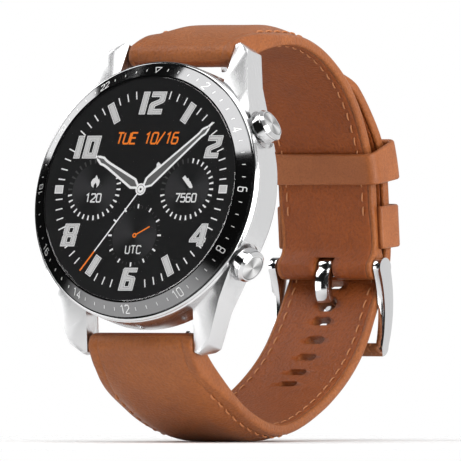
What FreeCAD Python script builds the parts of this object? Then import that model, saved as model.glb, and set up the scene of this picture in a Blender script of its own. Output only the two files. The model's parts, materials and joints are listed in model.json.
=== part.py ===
import FreeCAD, Part

import math
import os

# Round smartwatch on a buckled two-piece leather strap, in millimetres.
# Case frame of reference ("case axes"): x towards 3 o'clock, y towards 12 o'clock, z out of the display,
# origin at the centre of the case back. The strap loop is drawn in "loop axes": depth runs back from the
# display side towards the buckle, height runs up, both square to x. The whole watch is written standing
# upright with the display leaning back by LEAN, which is exactly the loop axes: row y = depth, row z = height.

V = FreeCAD.Vector

LEAN = 13.4                # display leans back this much from upright, degrees
CASE_R = 22.95             # case side wall
CASE_BOTTOM = 2.2          # lower edge of the steel frame above the case back
CASE_TOP = 8.4             # upper edge of the steel frame
CAVITY_R = 20.4            # inside of the steel frame
TRIM_SEAT_R = 22.25        # step in the frame's top that takes the polished trim
TRIM_SEAT = 7.7
GLASS_R = 19.75            # flat cover glass
GLASS_TOP = 10.7           # overall case thickness
GLASS_THICK = 0.8
GLASS_GAP = 0.1            # clear bond between the glass and the display panel
BEZEL_R = 22.25            # outside of the sloping hour ring
BEZEL_DROP = 1.6           # the hour ring falls this much from the glass outwards
DISPLAY_R = 18.6
SCREW_CIRCLE = 18.4        # the rear screws, from the case centre
SCREW_ANGLES = (45, 135, 225, 315)
MICROPHONE_Z = 4.6         # its port through the case side at 6 o'clock

LUG_GAP = 22.3             # between the lugs, for a 22 mm strap
LUG_TIP = V(12.0, 27.4, 3.7)
LUG_CORNER = V(14.4, 25.9, 3.7)
BAR_Y = 25.6               # spring bar centre line
BAR_Z = 2.3
BAR_HOLE_R = 0.5

PUSHER_ANGLES = {"upper": 30.0, "lower": -30.0}
PUSHER_Z = 5.2
PUSHER_R = 2.9
PUSHER_FACE = 25.4         # end face, from the case centre
PUSHER_BASE = 23.25
STEM_R = 0.75
STEM_END = 17.8
SEAT_R = 3.35              # round pocket in the case side behind each pusher
SEAT_FLOOR = 22.3

STRAP_HALF = 10.95         # half the strap's width between the lugs
FLARE_HALF = 12.2          # just outside the lugs
BUCKLE_HALF = 9.9          # at the buckle and along the tail
BARREL_R = 2.1             # rolled strap end around the spring bar
LINING = 0.8
SKIN = 1.0                 # outer leather
ARC = (18.8, -0.8)         # depth and height of the centre of the round part of the loop
SHORT_R = 27.2             # inside of the short strap about that centre, under the tail
TAIL_R = 31.0              # inside of the tail about that centre, under the keepers
TAIL_THICK = 2.2
TAIL_TIP_R = 29.55
TAIL_TIP_ANGLE = 56.0      # where the tail ends, about the arc's centre
BUCKLE_BAR = (47.3, -11.1)
FOLD_R = 2.15              # short strap end folded around the buckle bar
HOLE_PITCH = 3.8
HOLE_HALF_LENGTH = 2.0     # across the strap
HOLES_BEFORE = 5           # holes between the lug and the one in use
HOLES_AFTER = 1
HOLE_R = 0.95
WORN_HOLE_R = 1.15         # the hole in use is drawn wider by the tang
TANG_HOLE = (46.65, -17.3)    # where the tang goes through the long strap
TIP_ROUNDING = 13.0        # roundness of the tail's tip

FRAME_HALF = 11.75         # buckle frame, outside
ARM_WIDTH = 1.45
BUCKLE_PIN_R = 0.75
TANG_THICK = 0.9
TANG_REST = 0.5            # floor of the crossbar's notch, out from the bar's centre

KEEPER_THICK = 1.0
KEEPER_CLEAR = 0.2
KEEPER_WIDTH = 6.4
KEEPER_ANGLE = 14.6        # middle of the free keeper about the arc's centre
FIXED_KEEPER = (-7.5, -0.1)   # lower and upper edge
FIXED_KEEPER_FACE = 52.8   # its inner face, depth at mid height
FIXED_KEEPER_TILT = 4.5    # its top leans towards the case with the strap, degrees

NODES = {}


def node(name, *shapes):
    """One sub-part: a single solid, or a group of separate identical ones."""
    NODES[name] = shapes[0] if len(shapes) == 1 else Part.makeCompound(list(shapes))


def stand(shape):
    """Case axes to the row frame: the display turns to face -y and leans back."""
    turned = shape.copy()
    turned.rotate(V(0, 0, 0), V(1, 0, 0), 90.0 - LEAN)
    return turned


def case_node(name, *shapes):
    node(name, *[stand(s) for s in shapes])


def to_loop(y, z):
    """Case axes y, z to loop axes depth, height."""
    lean = math.radians(LEAN)
    return (y * math.sin(lean) - z * math.cos(lean), y * math.cos(lean) + z * math.sin(lean))


def disc(r, low, high):
    return Part.makeCylinder(r, high - low, V(0, 0, low))


def ring(outer, inner, low, high):
    return disc(outer, low, high).cut(disc(inner, low - 1, high + 1))


def turned(profile):
    """Solid of revolution about z from (radius, z) corners."""
    points = [V(r, 0, z) for r, z in profile]
    face = Part.Face(Part.makePolygon(points + points[:1]))
    return face.revolve(V(0, 0, 0), V(0, 0, 1), 360)


def box(low, high):
    return Part.makeBox(high[0] - low[0], high[1] - low[1], high[2] - low[2], V(*low))


def prism(points, direction):
    """Straight-sided outline pushed along a direction."""
    return Part.Face(Part.makePolygon(points + points[:1])).extrude(direction)


def rounded_block(size, centre, radius):
    """Block with its four upright corners rounded."""
    sx, sy, sz = size
    block = box((centre[0] - sx / 2, centre[1] - sy / 2, centre[2] - sz / 2),
                (centre[0] + sx / 2, centre[1] + sy / 2, centre[2] + sz / 2))
    upright = [e for e in block.Edges if abs(e.Vertexes[0].X - e.Vertexes[1].X) < 1e-6
               and abs(e.Vertexes[0].Y - e.Vertexes[1].Y) < 1e-6]
    return block.makeFillet(radius, upright)


def radial(angle):
    a = math.radians(angle)
    return V(math.cos(a), math.sin(a), 0)


def rod(angle, height, r, start, end):
    """Cylinder along a radius of the case, from start to end millimetres from its centre."""
    d = radial(angle)
    return Part.makeCylinder(r, end - start, d * start + V(0, 0, height), d)


def coil(radius, wire, length, turns, base, direction):
    """Compression spring."""
    helix = Part.makeHelix(length / turns, length, radius)
    start = Part.Wire(Part.makeCircle(wire, V(radius, 0, 0), V(0, 1, 0)))
    spring = Part.Wire(helix).makePipeShell([start], True, True)
    spring.Placement = FreeCAD.Placement(base, FreeCAD.Rotation(V(0, 0, 1), direction))
    return spring


# ---------------------------------------------------------------- case


def mirrored_lugs(lug):
    """The 2 o'clock corner's lug and its three mirror images."""
    right = [lug, lug.mirror(V(0, 0, 0), V(0, 1, 0))]
    return right + [s.mirror(V(0, 0, 0), V(1, 0, 0)) for s in right]


def below_plane(shape, a, b, c):
    """Keeps what is under the plane through three points."""
    normal = (b - a).cross(c - a).normalize()
    if normal.z < 0:
        normal = normal * -1
    slab = Part.makeBox(80, 80, 30, V(-40, -40, 0))
    slab.Placement = FreeCAD.Placement(a, FreeCAD.Rotation(V(0, 0, 1), normal))
    return shape.cut(slab)


def lug():
    """Faceted lug: a straight flank tangent to the case, a ridge, and a facet that falls to the strap gap."""
    inner = LUG_GAP / 2
    reach = math.hypot(LUG_CORNER.x, LUG_CORNER.y)
    tangent = math.degrees(math.atan2(LUG_CORNER.y, LUG_CORNER.x) - math.acos(CASE_R / reach))
    touch = radial(tangent) * CASE_R
    plan = [V(inner, 14, -1), V(inner, LUG_TIP.y - 0.35, -1), V(LUG_TIP.x, LUG_TIP.y, -1),
            V(LUG_CORNER.x, LUG_CORNER.y, -1), V(touch.x, touch.y, -1), radial(tangent) * 19.5 - V(0, 0, 1)]
    body = prism(plan, V(0, 0, 10))
    side = [V(0, 5, CASE_BOTTOM), V(0, 19.7, CASE_BOTTOM), V(0, 25.6, 0.5), V(0, 26.5, 0.6),
            V(0, 28.0, 3.6), V(0, 27.0, 4.0), V(0, 21.0, 6.9), V(0, 14.0, CASE_TOP - 0.25), V(0, 5, CASE_TOP - 0.25)]
    body = body.common(prism(side, V(30, 0, 0)))
    ridge_start = V(15.9, 15.0, 8.1)
    body = below_plane(body, ridge_start, V(inner, 18.6, 6.2), V(inner + 0.55, 27.4, 3.75))
    return body


def pusher_pocket(angle):
    pocket = rod(angle, PUSHER_Z, SEAT_R, SEAT_FLOOR, 27)
    bore = rod(angle, PUSHER_Z, STEM_R + 0.05, 19, 27)
    seal_room = rod(angle, PUSHER_Z, 1.25, 20.55, 22.0)
    spring_room = rod(angle, PUSHER_Z, 1.9, 21.9, 27)
    return pocket.fuse([bore, seal_room, spring_room])


def case_frame():
    wall = turned([(CAVITY_R, CASE_BOTTOM), (CASE_R - 0.25, CASE_BOTTOM), (CASE_R, CASE_BOTTOM + 0.25),
                   (CASE_R, CASE_TOP - 0.3), (CASE_R - 0.3, CASE_TOP), (TRIM_SEAT_R, CASE_TOP),
                   (TRIM_SEAT_R, TRIM_SEAT), (CAVITY_R, TRIM_SEAT)])
    bars = [Part.makeCylinder(BAR_HOLE_R, 1.4, V(LUG_GAP / 2 - 0.1, BAR_Y, BAR_Z), V(1, 0, 0))]
    bars += [s.mirror(V(0, 0, 0), V(0, 1, 0)) for s in bars]
    bars += [s.mirror(V(0, 0, 0), V(1, 0, 0)) for s in bars]
    cavity = disc(CAVITY_R + 1, -2, 12).fuse(disc(TRIM_SEAT_R, TRIM_SEAT, 12))
    shell = wall.fuse([s.cut(cavity) for s in mirrored_lugs(lug())])
    shell = shell.cut(bars + [pusher_pocket(a) for a in PUSHER_ANGLES.values()])
    mic_port = rod(-90, MICROPHONE_Z, 0.4, 19, 24)
    speaker_ports = [rod(180 + a, 4.0, 0.45, 19, 24) for a in (-6, -2, 2, 6)]
    return shell.cut([mic_port] + speaker_ports).removeSplitter()


def case_shells():
    case_node("case_frame", case_frame())
    trim_low = CASE_TOP + 0.12
    case_node("front_trim", turned([(21.7, 7.75), (22.2, 7.75), (22.2, trim_low), (22.85, trim_low),
                                    (22.85, trim_low + 0.25), (22.55, trim_low + 0.5), (21.7, trim_low + 0.5)]))
    top, low = GLASS_TOP - 0.05, GLASS_TOP - BEZEL_DROP
    lip = GLASS_TOP - GLASS_THICK - 0.16
    case_node("bezel_ring", turned([(GLASS_R + 0.05, lip), (GLASS_R + 0.05, top), (GLASS_R + 0.3, top),
                                    (BEZEL_R, low + 0.12), (BEZEL_R, low - 0.05), (20.6, low - 0.05),
                                    (20.6, lip - 0.5), (18.75, lip - 0.5), (18.75, lip)]))
    case_node("glass_gasket", ring(GLASS_R - 0.05, 18.8, lip + 0.01, GLASS_TOP - GLASS_THICK - 0.01))
    glass = disc(GLASS_R, GLASS_TOP - GLASS_THICK, GLASS_TOP)
    rim = [e for e in glass.Edges if abs(e.BoundBox.ZMin - GLASS_TOP) < 1e-6 and e.BoundBox.XLength > 1]
    case_node("cover_glass", glass.makeChamfer(0.12, rim))
    case_node("antenna_ring", ring(21.5, 20.65, 7.75, 8.9))
    # shallow dished back cover with a recess for the sensor window and a deep pocket for the gasket
    cover = turned([(0, 0.55), (9.05, 0.55), (9.05, 0.15), (17.5, 0.05), (21.0, 0.75), (22.35, 1.55), (22.35, 2.1),
                    (20.2, 2.1), (20.2, 2.75), (19.2, 2.75), (19.2, 1.3), (0, 1.3)])
    screw_spots = [radial(a) * SCREW_CIRCLE for a in SCREW_ANGLES]
    bores = [Part.makeCylinder(0.6, 4, p + V(0, 0, -1)) for p in screw_spots]
    sinks = [Part.makeCylinder(1.05, 1.0, p + V(0, 0, -0.5)) for p in screw_spots]
    pin_spots = [V(0, -13.6 + s, 0) for s in (-1.4, 1.4)]
    pin_bores = [Part.makeCylinder(1.02, 4, p + V(0, 0, -1)) for p in pin_spots]
    light_well = disc(8.2, 0, 2)
    case_node("rear_cover", cover.cut(bores + sinks + pin_bores + [light_well]))
    case_node("sensor_window", turned([(0, 0), (7.6, 0), (8.95, 0.22), (8.95, 0.53), (0, 0.53)]))
    case_node("rear_gasket", ring(20.36, 20.24, 2.25, 2.7))
    case_node("charging_pins", *[Part.makeCylinder(1.0, 1.4, p + V(0, 0, 0.05)) for p in pin_spots])
    screws = [Part.makeCylinder(0.95, 0.36, p + V(0, 0, 0.12)).fuse(
        Part.makeCylinder(0.5, 3.6, p + V(0, 0, 0.4))) for p in screw_spots]
    drives = [box((p.x - 0.6, p.y - 0.12, 0.0), (p.x + 0.6, p.y + 0.12, 0.3)) for p in screw_spots]
    case_node("rear_screws", *[s.cut(d) for s, d in zip(screws, drives)])


def case_insides():
    case_node("display_panel", disc(DISPLAY_R, 8.95, GLASS_TOP - GLASS_THICK - GLASS_GAP))
    flex = box((-3.0, -18.3, 8.75), (3.0, -14.0, 8.9)).fuse(
        [box((-3.0, -18.3, 6.95), (3.0, -18.15, 8.9)), box((-3.0, -18.3, 6.95), (3.0, -16.2, 7.1))])
    case_node("display_flex", flex)
    floor = disc(20.2, 6.05, 6.25).fuse(ring(20.25, 19.3, 3.0, 8.5)).fuse(
        [Part.makeCylinder(1.4, 3.0, radial(a) * SCREW_CIRCLE + V(0, 0, 3.0)) for a in SCREW_ANGLES])
    gaps = [rod(a, PUSHER_Z, 2.4, 14, 21) for a in PUSHER_ANGLES.values()]
    gaps += [box((-3.4, -19.0, 5), (3.4, -15.6, 9)), rod(-90, MICROPHONE_Z, 1.2, 17, 22),
             box((-20.3, -5.4, 3.5), (-18.0, 5.4, 6.0))]
    taps = [Part.makeCylinder(0.52, 1.6, radial(a) * SCREW_CIRCLE + V(0, 0, 2.6)) for a in SCREW_ANGLES]
    case_node("inner_chassis", floor.cut(gaps + taps))
    case_node("battery", rounded_block((21.0, 20.0, 3.3), (0.8, 0.6, 4.3), 4.0))
    board = disc(16.9, 6.35, 6.85).cut([box((-4.0, -19, 6), (4.0, -15.8, 7)), disc(2.2, 6, 7)])
    case_node("main_board", board)
    cans = [((9.0, 7.0, 1.0), (-7.5, 6.0, 7.4)), ((7.0, 8.5, 1.1), (6.5, 5.5, 7.45)),
            ((12.0, 6.0, 0.9), (2.5, -8.0, 7.35))]
    case_node("board_shields", *[rounded_block(size, spot, 0.6) for size, spot in cans])
    case_node("vibration_motor", Part.makeCylinder(4.0, 2.6, V(-14.6, 0, 3.2)).cut(
        box((-20, -10, 2), (-18.2, 10, 7))))
    case_node("speaker", rounded_block((3.0, 9.0, 1.9), (-15.8, 0.0, 7.87), 0.5))
    case_node("microphone", box((-1.4, -18.7, MICROPHONE_Z - 0.6), (1.4, -17.3, MICROPHONE_Z + 0.6)))
    board_low = disc(8.0, 1.4, 1.7)
    sensors = [box((x - 0.6, y - 0.6, 0.75), (x + 0.6, y + 0.6, 1.4)) for x, y in ((0, 0), (4.2, 0), (-4.2, 0))]
    case_node("sensor_board", board_low.fuse(sensors))


def button_parts():
    for side, angle in PUSHER_ANGLES.items():
        d = radial(angle)
        chamfer = 0.45
        outline = [(0, PUSHER_FACE - 0.5), (2.25, PUSHER_FACE - 0.5), (2.25, PUSHER_FACE),
                   (PUSHER_R - chamfer, PUSHER_FACE), (PUSHER_R, PUSHER_FACE - chamfer),
                   (PUSHER_R, PUSHER_BASE), (2.3, PUSHER_BASE), (2.3, PUSHER_FACE - 1.1),
                   (0, PUSHER_FACE - 1.1)]
        groove = ring(PUSHER_R + 1, PUSHER_R - 0.12, PUSHER_FACE - 0.8, PUSHER_FACE - 0.6)
        cap = turned(outline).cut(groove)
        stem = turned([(0, STEM_END), (STEM_R, STEM_END), (STEM_R, 19.85), (0.5, 19.85), (0.5, 20.15),
                       (STEM_R, 20.15), (STEM_R, 21.15), (0.62, 21.15), (0.62, 21.85), (STEM_R, 21.85),
                       (STEM_R, 22.6), (1.1, 22.6), (1.1, PUSHER_FACE - 1.12), (0, PUSHER_FACE - 1.12)])
        inlay = turned([(0, PUSHER_FACE - 0.48), (2.2, PUSHER_FACE - 0.48), (2.2, PUSHER_FACE - 0.05),
                        (2.1, PUSHER_FACE + 0.03), (0, PUSHER_FACE + 0.03)])
        seal = Part.makeTorus(0.92, 0.27, V(0, 0, 21.5))
        clip = ring(1.3, 0.52, 19.88, 20.12).cut(box((0, -0.4, 19), (2, 0.4, 21)))
        placement = FreeCAD.Placement(V(0, 0, PUSHER_Z), FreeCAD.Rotation(V(0, 0, 1), d))
        for part, name in ((cap, "cap"), (stem, "stem"), (inlay, "inlay"), (seal, "seal"), (clip, "clip")):
            part.Placement = placement
            case_node(f"{side}_pusher_{name}", part)
        spring = coil(1.5, 0.16, 2.0, 4, d * 22.12 + V(0, 0, PUSHER_Z), d)
        case_node(f"{side}_pusher_spring", spring)
        switch = box((15.4, -1.6, PUSHER_Z - 1.1), (17.0, 1.6, PUSHER_Z + 0.85)).fuse(
            Part.makeCylinder(0.6, 0.15, V(17.0, 0, PUSHER_Z), V(1, 0, 0)))
        switch.rotate(V(0, 0, 0), V(0, 0, 1), angle)
        case_node(f"{side}_tact_switch", switch)
    low, high = PUSHER_ANGLES["lower"] - 6, PUSHER_ANGLES["upper"] + 6
    strip = ring(15.35, 15.2, PUSHER_Z - 1.0, PUSHER_Z + 0.8).common(
        prism([V(0, 0, 0), radial(low) * 30, radial(0) * 34.6, radial(high) * 30], V(0, 0, 10)))
    case_node("button_flex", strip)


# ---------------------------------------------------------------- strap loop


def loop_vector(p, x=0.0):
    return V(x, p[0], p[1])


def on_arc(radius, angle):
    """Point of the round part of the loop, the angle counted up from level at the back."""
    a = math.radians(angle)
    return (ARC[0] + radius * math.cos(a), ARC[1] + radius * math.sin(a))


def curve_through(points):
    """Smooth edge through loop points."""
    spline = Part.BSplineCurve()
    spline.interpolate([loop_vector(p) for p in points])
    return spline


def band(inner, outer, half):
    """Slab between two loop curves that start and end side by side."""
    first = Part.LineSegment(inner.value(inner.LastParameter), outer.value(outer.LastParameter)).toShape()
    last = Part.LineSegment(outer.value(outer.FirstParameter), inner.value(inner.FirstParameter)).toShape()
    wire = Part.Wire(Part.__sortEdges__([inner.toShape(), first, outer.toShape(), last]))
    face = Part.Face(wire)
    face.translate(V(-half, 0, 0))
    return face.extrude(V(2 * half, 0, 0))


class Strap:
    """A strap half: stations along its inside, each with the strap's whole thickness there."""

    def __init__(self, stations):
        self.points = [(s[0], s[1]) for s in stations]
        self.thick = [s[2] for s in stations]
        self.inside = curve_through(self.points)

    def layer(self, offset_from_inside, offset_from_outside=None):
        """Curve that runs inside the strap's thickness."""
        out = []
        for p, t in zip(self.points, self.thick):
            tangent = self.inside.tangent(self.inside.parameter(loop_vector(p)))[0]
            normal = V(0, tangent.z, -tangent.y)
            if normal.dot(loop_vector(p) - loop_vector(ARC)) < 0:
                normal = normal * -1
            away = offset_from_inside if offset_from_outside is None else t - offset_from_outside
            out.append((p[0] + away * normal.y, p[1] + away * normal.z))
        return curve_through(out)


def planform(widths, low, high):
    """Solid whose half-width follows (depth, half-width) stations."""
    right = [V(w, d, low) for d, w in widths]
    left = [V(-w, d, low) for d, w in reversed(widths)]
    return prism(right + left, V(0, 0, high - low))


def cylinder_x(centre, radius, half):
    return Part.makeCylinder(radius, 2 * half, loop_vector(centre, -half), V(1, 0, 0))


def toward(a, b):
    d = math.hypot(b[0] - a[0], b[1] - a[1])
    return ((b[0] - a[0]) / d, (b[1] - a[1]) / d)


def barrel_start(bar, heading, side):
    """Point on the rolled end where the strap's inside leaves it; side is +1 or -1 across the heading."""
    return (bar[0] + side * heading[1] * BARREL_R, bar[1] - side * heading[0] * BARREL_R)


def turned_inward(shape, bar, inward):
    """Moves a shape drawn about the origin to a spring bar, with its z towards the wrist."""
    shape.Placement = FreeCAD.Placement(loop_vector(bar), FreeCAD.Rotation(V(0, 0, 1), loop_vector(inward)))
    return shape


def spring_bar(side, bar, inward):
    """Quick-release spring bar: tube, spring, a fixed tip and a sprung tip with its lever."""
    r_out, r_in, half = 0.9, 0.66, 9.6

    def along(r, x0, x1):
        return Part.makeCylinder(r, x1 - x0, loop_vector(bar, x0), V(1, 0, 0))

    lever_slot = turned_inward(box((5.7, -0.42, 0.0), (8.2, 0.42, 2.0)), bar, inward)
    node(f"{side}_bar_tube", along(r_out, -half, half).cut([along(r_in, -half, half), lever_slot]))
    node(f"{side}_bar_fixed_tip", along(r_in - 0.02, -half + 0.05, -7.6).fuse(along(0.45, -11.95, -half + 0.1)))
    lever = turned_inward(box((7.15, -0.35, 0.0), (7.85, 0.35, 3.0)), bar, inward)
    sprung = along(r_in - 0.04, 6.6, half - 0.9).fuse([along(0.45, half - 1.0, 11.95), lever])
    node(f"{side}_bar_sprung_tip", sprung)
    coil_base = loop_vector(bar, -7.5)
    node(f"{side}_bar_spring", coil(0.42, 0.12, 14.0, 16, coil_base, V(1, 0, 0)))


def strap_layers(strap, bar, inward, half_shape, holes=()):
    """Leather, core and lining of one strap half, with the notch where the bar's lever can be reached."""
    lining_top = strap.layer(LINING)
    skin_bottom = strap.layer(0, SKIN)
    outside = strap.layer(0, 0)
    barrel = cylinder_x(bar, BARREL_R, STRAP_HALF)
    bore = cylinder_x(bar, 0.98, STRAP_HALF + 1)
    slot = turned_inward(box((5.6, -0.75, 0.0), (9.0, 0.75, 4.0)), bar, inward)
    lining = band(strap.inside, lining_top, 15).common(half_shape).cut([barrel, slot] + list(holes))
    core_half = planform([(-20, 9.2), (60, 8.2)], -60, 60)
    core = band(lining_top, skin_bottom, 15).common(half_shape).common(core_half).cut([barrel, slot] + list(holes))
    leather = band(lining_top, outside, 15).common(half_shape).fuse(barrel)
    leather = leather.cut([bore, slot, core] + list(holes))
    return leather, core, lining


def upper_strap():
    bar = to_loop(BAR_Y, BAR_Z)
    heading = toward(bar, on_arc(29.3, 108))
    inward = (heading[1], -heading[0])
    first = barrel_start(bar, heading, 1)
    round_part = [(28.1, 112, 4.0), (28.0, 92, 3.5), (27.6, 72, 2.9), (SHORT_R, 54, 2.15), (SHORT_R, 41, 2.25),
                  (SHORT_R, 30, 2.8), (SHORT_R, 20, 3.3), (SHORT_R, 10, 3.4), (SHORT_R, 0, 3.3)]
    stations = [first + (4.1,)] + [on_arc(r, angle) + (thick,) for r, angle, thick in round_part]
    stations += [(46.8, -5.2, 3.1), (46.5, BUCKLE_BAR[1] + 1.2, 2.8)]
    strap = Strap(stations)
    widths = [(-5, STRAP_HALF), (5.9, STRAP_HALF), (7.2, FLARE_HALF - 0.2), (9.0, FLARE_HALF), (20, 11.8),
              (36, 10.8), (43, 10.0), (45, BUCKLE_HALF), (60, BUCKLE_HALF)]
    shape = planform(widths, -30, 60)
    fold = cylinder_x(BUCKLE_BAR, FOLD_R, BUCKLE_HALF)
    fold_bore = cylinder_x(BUCKLE_BAR, BUCKLE_PIN_R + 0.08, 15)
    notch = box((-2.0, BUCKLE_BAR[0] - 5, BUCKLE_BAR[1] - 5), (2.0, BUCKLE_BAR[0] + 1.9, BUCKLE_BAR[1] + 1.7))
    leather, core, lining = strap_layers(strap, bar, inward, shape)
    leather = leather.fuse(fold).cut([fold_bore, notch])
    node("upper_strap_leather", leather.removeSplitter())
    node("upper_strap_core", core.cut([fold, notch]))
    node("upper_strap_lining", lining.cut([fold, notch]))
    spring_bar("upper", bar, inward)


def hole_at(centre, tangent, radius):
    """Rounded slot through the long strap, square to its surface."""
    reach = HOLE_HALF_LENGTH - radius
    across = [Part.makeCylinder(radius, 12, V(x, 0, -6)) for x in (-reach, reach)]
    middle = box((-reach, -radius, -6), (reach, radius, 6))
    slot = across[0].fuse([across[1], middle])
    angle = math.degrees(math.atan2(tangent.z, tangent.y))
    slot.rotate(V(0, 0, 0), V(1, 0, 0), angle)
    slot.translate(centre)
    return slot


def lower_strap():
    bar = to_loop(-BAR_Y, BAR_Z)
    heading = toward((-6.6, -26.0), (-0.5, -31.5))
    inward = (-heading[1], heading[0])
    first = barrel_start(bar, heading, -1)
    stations = [first + (4.1,), (-0.5, -31.4, 4.0), (7.6, -36.2, 3.4), (16.0, -38.1, 2.9),
                (25.7, -35.7, 2.4), (34.75, -31.0, TAIL_THICK), (43.0, -23.4, TAIL_THICK), TANG_HOLE + (TAIL_THICK,),
                (49.85, -11.2, TAIL_THICK), (50.35, -7.4, TAIL_THICK)]
    tail = [(TAIL_R, 0, TAIL_THICK), (TAIL_R, 10, TAIL_THICK), (TAIL_R, 20, TAIL_THICK - 0.05),
            (30.3, 30, TAIL_THICK - 0.1), (29.75, 41, 2.0), (TAIL_TIP_R, TAIL_TIP_ANGLE, 1.9)]
    strap = Strap(stations + [on_arc(r, angle) + (thick,) for r, angle, thick in tail])
    widths = [(-20, STRAP_HALF), (-6.1, STRAP_HALF), (-4.8, FLARE_HALF - 0.2), (-3.0, FLARE_HALF), (10, 11.8),
              (30, 11.0), (44, 10.1), (46, BUCKLE_HALF), (60, BUCKLE_HALF)]
    tail_start = TANG_HOLE[1] + 4
    shape = planform(widths, -60, tail_start)
    straight = planform([(-20, BUCKLE_HALF), (60, BUCKLE_HALF)], tail_start, 40)
    tip_centre = on_arc(TAIL_TIP_R, TAIL_TIP_ANGLE)[1] - TIP_ROUNDING
    round_tip = Part.makeCylinder(TIP_ROUNDING + 0.5, 80, V(0, -20, tip_centre), V(0, 1, 0))
    below_tip = box((-20, -30, -20), (20, 70, tip_centre + 9.0))
    shape = shape.fuse(straight.common(round_tip.fuse(below_tip)))
    holes = []
    along = strap.inside.length(strap.inside.FirstParameter, strap.inside.parameter(loop_vector(TANG_HOLE)))
    for k in range(-HOLES_BEFORE, HOLES_AFTER + 1):
        at = strap.inside.parameterAtDistance(along + k * HOLE_PITCH, strap.inside.FirstParameter)
        radius = WORN_HOLE_R if k == 0 else HOLE_R
        holes.append(hole_at(strap.inside.value(at), strap.inside.tangent(at)[0], radius))
    leather, core, lining = strap_layers(strap, bar, inward, shape, holes)
    node("lower_strap_leather", leather)
    node("lower_strap_core", core)
    node("lower_strap_lining", lining)
    spring_bar("lower", bar, inward)


# ---------------------------------------------------------------- buckle and keepers


def loop_face(edges):
    return Part.Face(Part.Wire(Part.__sortEdges__(edges)))


def arc3(a, b, c):
    return Part.Arc(loop_vector(a), loop_vector(b), loop_vector(c)).toShape()


def seg(a, b):
    return Part.LineSegment(loop_vector(a), loop_vector(b)).toShape()


def buckle():
    bx, bz = BUCKLE_BAR
    front_eye, back_eye = (bx - 1.62, bz - 0.5), (bx + 1.62, bz - 0.5)
    front_low, back_low = (bx - 1.05, bz - 14.0), (bx + 0.95, bz - 13.6)
    profile = loop_face([arc3(front_eye, (bx, bz + 1.7), back_eye),
                         arc3(back_eye, (bx + 2.35, bz - 6.6), back_low),
                         arc3(back_low, (bx + 0.25, bz - 15.0), (bx - 0.9, bz - 15.4)),
                         seg((bx - 0.9, bz - 15.4), front_low),
                         arc3(front_low, (bx - 0.15, bz - 8.0), front_eye)])
    profile.translate(V(-FRAME_HALF, 0, 0))
    slab = profile.extrude(V(2 * FRAME_HALF, 0, 0))
    window = box((-FRAME_HALF + ARM_WIDTH, bx - 8, bz - 13.1), (FRAME_HALF - ARM_WIDTH, bx + 8, bz + 5))
    rest = box((-1.55, bx + TANG_REST, bz - 16), (1.55, bx + 6, bz - 12))
    bar_bore = cylinder_x(BUCKLE_BAR, BUCKLE_PIN_R + 0.02, FRAME_HALF - 0.5)
    node("buckle_frame", slab.cut([window, bar_bore, rest]))
    node("buckle_bar", cylinder_x(BUCKLE_BAR, BUCKLE_PIN_R, FRAME_HALF - 0.52))


def tang():
    """Flat prong: an eye on the buckle bar, a bow inside the strap, a step out through the hole, a straight tip
    that lies in the crossbar's notch. The places are from the buckle bar's centre."""
    half, play = 1.4, 0.06
    normal = toward((0, 0), (0.88, -0.47))
    hole = (TANG_HOLE[0] - BUCKLE_BAR[0], TANG_HOLE[1] - BUCKLE_BAR[1])

    def through(depth, side):
        """Point on the part that passes the hole; side is +1 on the face towards the bar."""
        return (hole[0] + depth * normal[0] - side * TANG_THICK / 2 * normal[1],
                hole[1] + depth * normal[1] + side * TANG_THICK / 2 * normal[0])

    tip, crossbar_face = -15.0, TANG_REST + 0.1
    profile = loop_face([
        arc3((-1.62, 0), (-2.55, -3.2), (-1.7, -6.1)), seg((-1.7, -6.1), through(0, -1)),
        seg(through(0, -1), through(TAIL_THICK, -1)), seg(through(TAIL_THICK, -1), (1.2, -8.4)),
        seg((1.2, -8.4), (crossbar_face, -13.2)), seg((crossbar_face, -13.2), (crossbar_face, tip)),
        seg((crossbar_face, tip), (crossbar_face + 0.7, tip - 0.1)),
        arc3((crossbar_face + 0.7, tip - 0.1), (2.15, -10.5), (2.2, -8.2)),
        arc3((2.2, -8.2), (2.0, -7.35), through(TAIL_THICK, 1)), seg(through(TAIL_THICK, 1), through(0, 1)),
        arc3(through(0, 1), (-1.25, -3.4), (-0.75, -1.3)), seg((-0.75, -1.3), (-0.75, 0)), seg((-0.75, 0), (-1.62, 0))])
    profile.translate(loop_vector(BUCKLE_BAR, -half))
    eye = cylinder_x(BUCKLE_BAR, 1.62, half)
    node("buckle_tang", profile.extrude(V(2 * half, 0, 0)).fuse(eye).cut(
        cylinder_x(BUCKLE_BAR, BUCKLE_PIN_R + play, 5)).removeSplitter())


def band_section(half, low, high, corner):
    """Rounded rectangle across the strap: x is across, y is the distance out from the wrist."""
    def p(x, y):
        return V(x, y, 0)

    k = corner * (1 - math.sqrt(0.5))
    edges = [Part.LineSegment(p(-half + corner, low), p(half - corner, low)),
             Part.Arc(p(half - corner, low), p(half - k, low + k), p(half, low + corner)),
             Part.LineSegment(p(half, low + corner), p(half, high - corner)),
             Part.Arc(p(half, high - corner), p(half - k, high - k), p(half - corner, high)),
             Part.LineSegment(p(half - corner, high), p(-half + corner, high)),
             Part.Arc(p(-half + corner, high), p(-half + k, high - k), p(-half, high - corner)),
             Part.LineSegment(p(-half, high - corner), p(-half, low + corner)),
             Part.Arc(p(-half, low + corner), p(-half + k, low + k), p(-half + corner, low))]
    return Part.Face(Part.Wire([e.toShape() for e in edges]))


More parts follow.
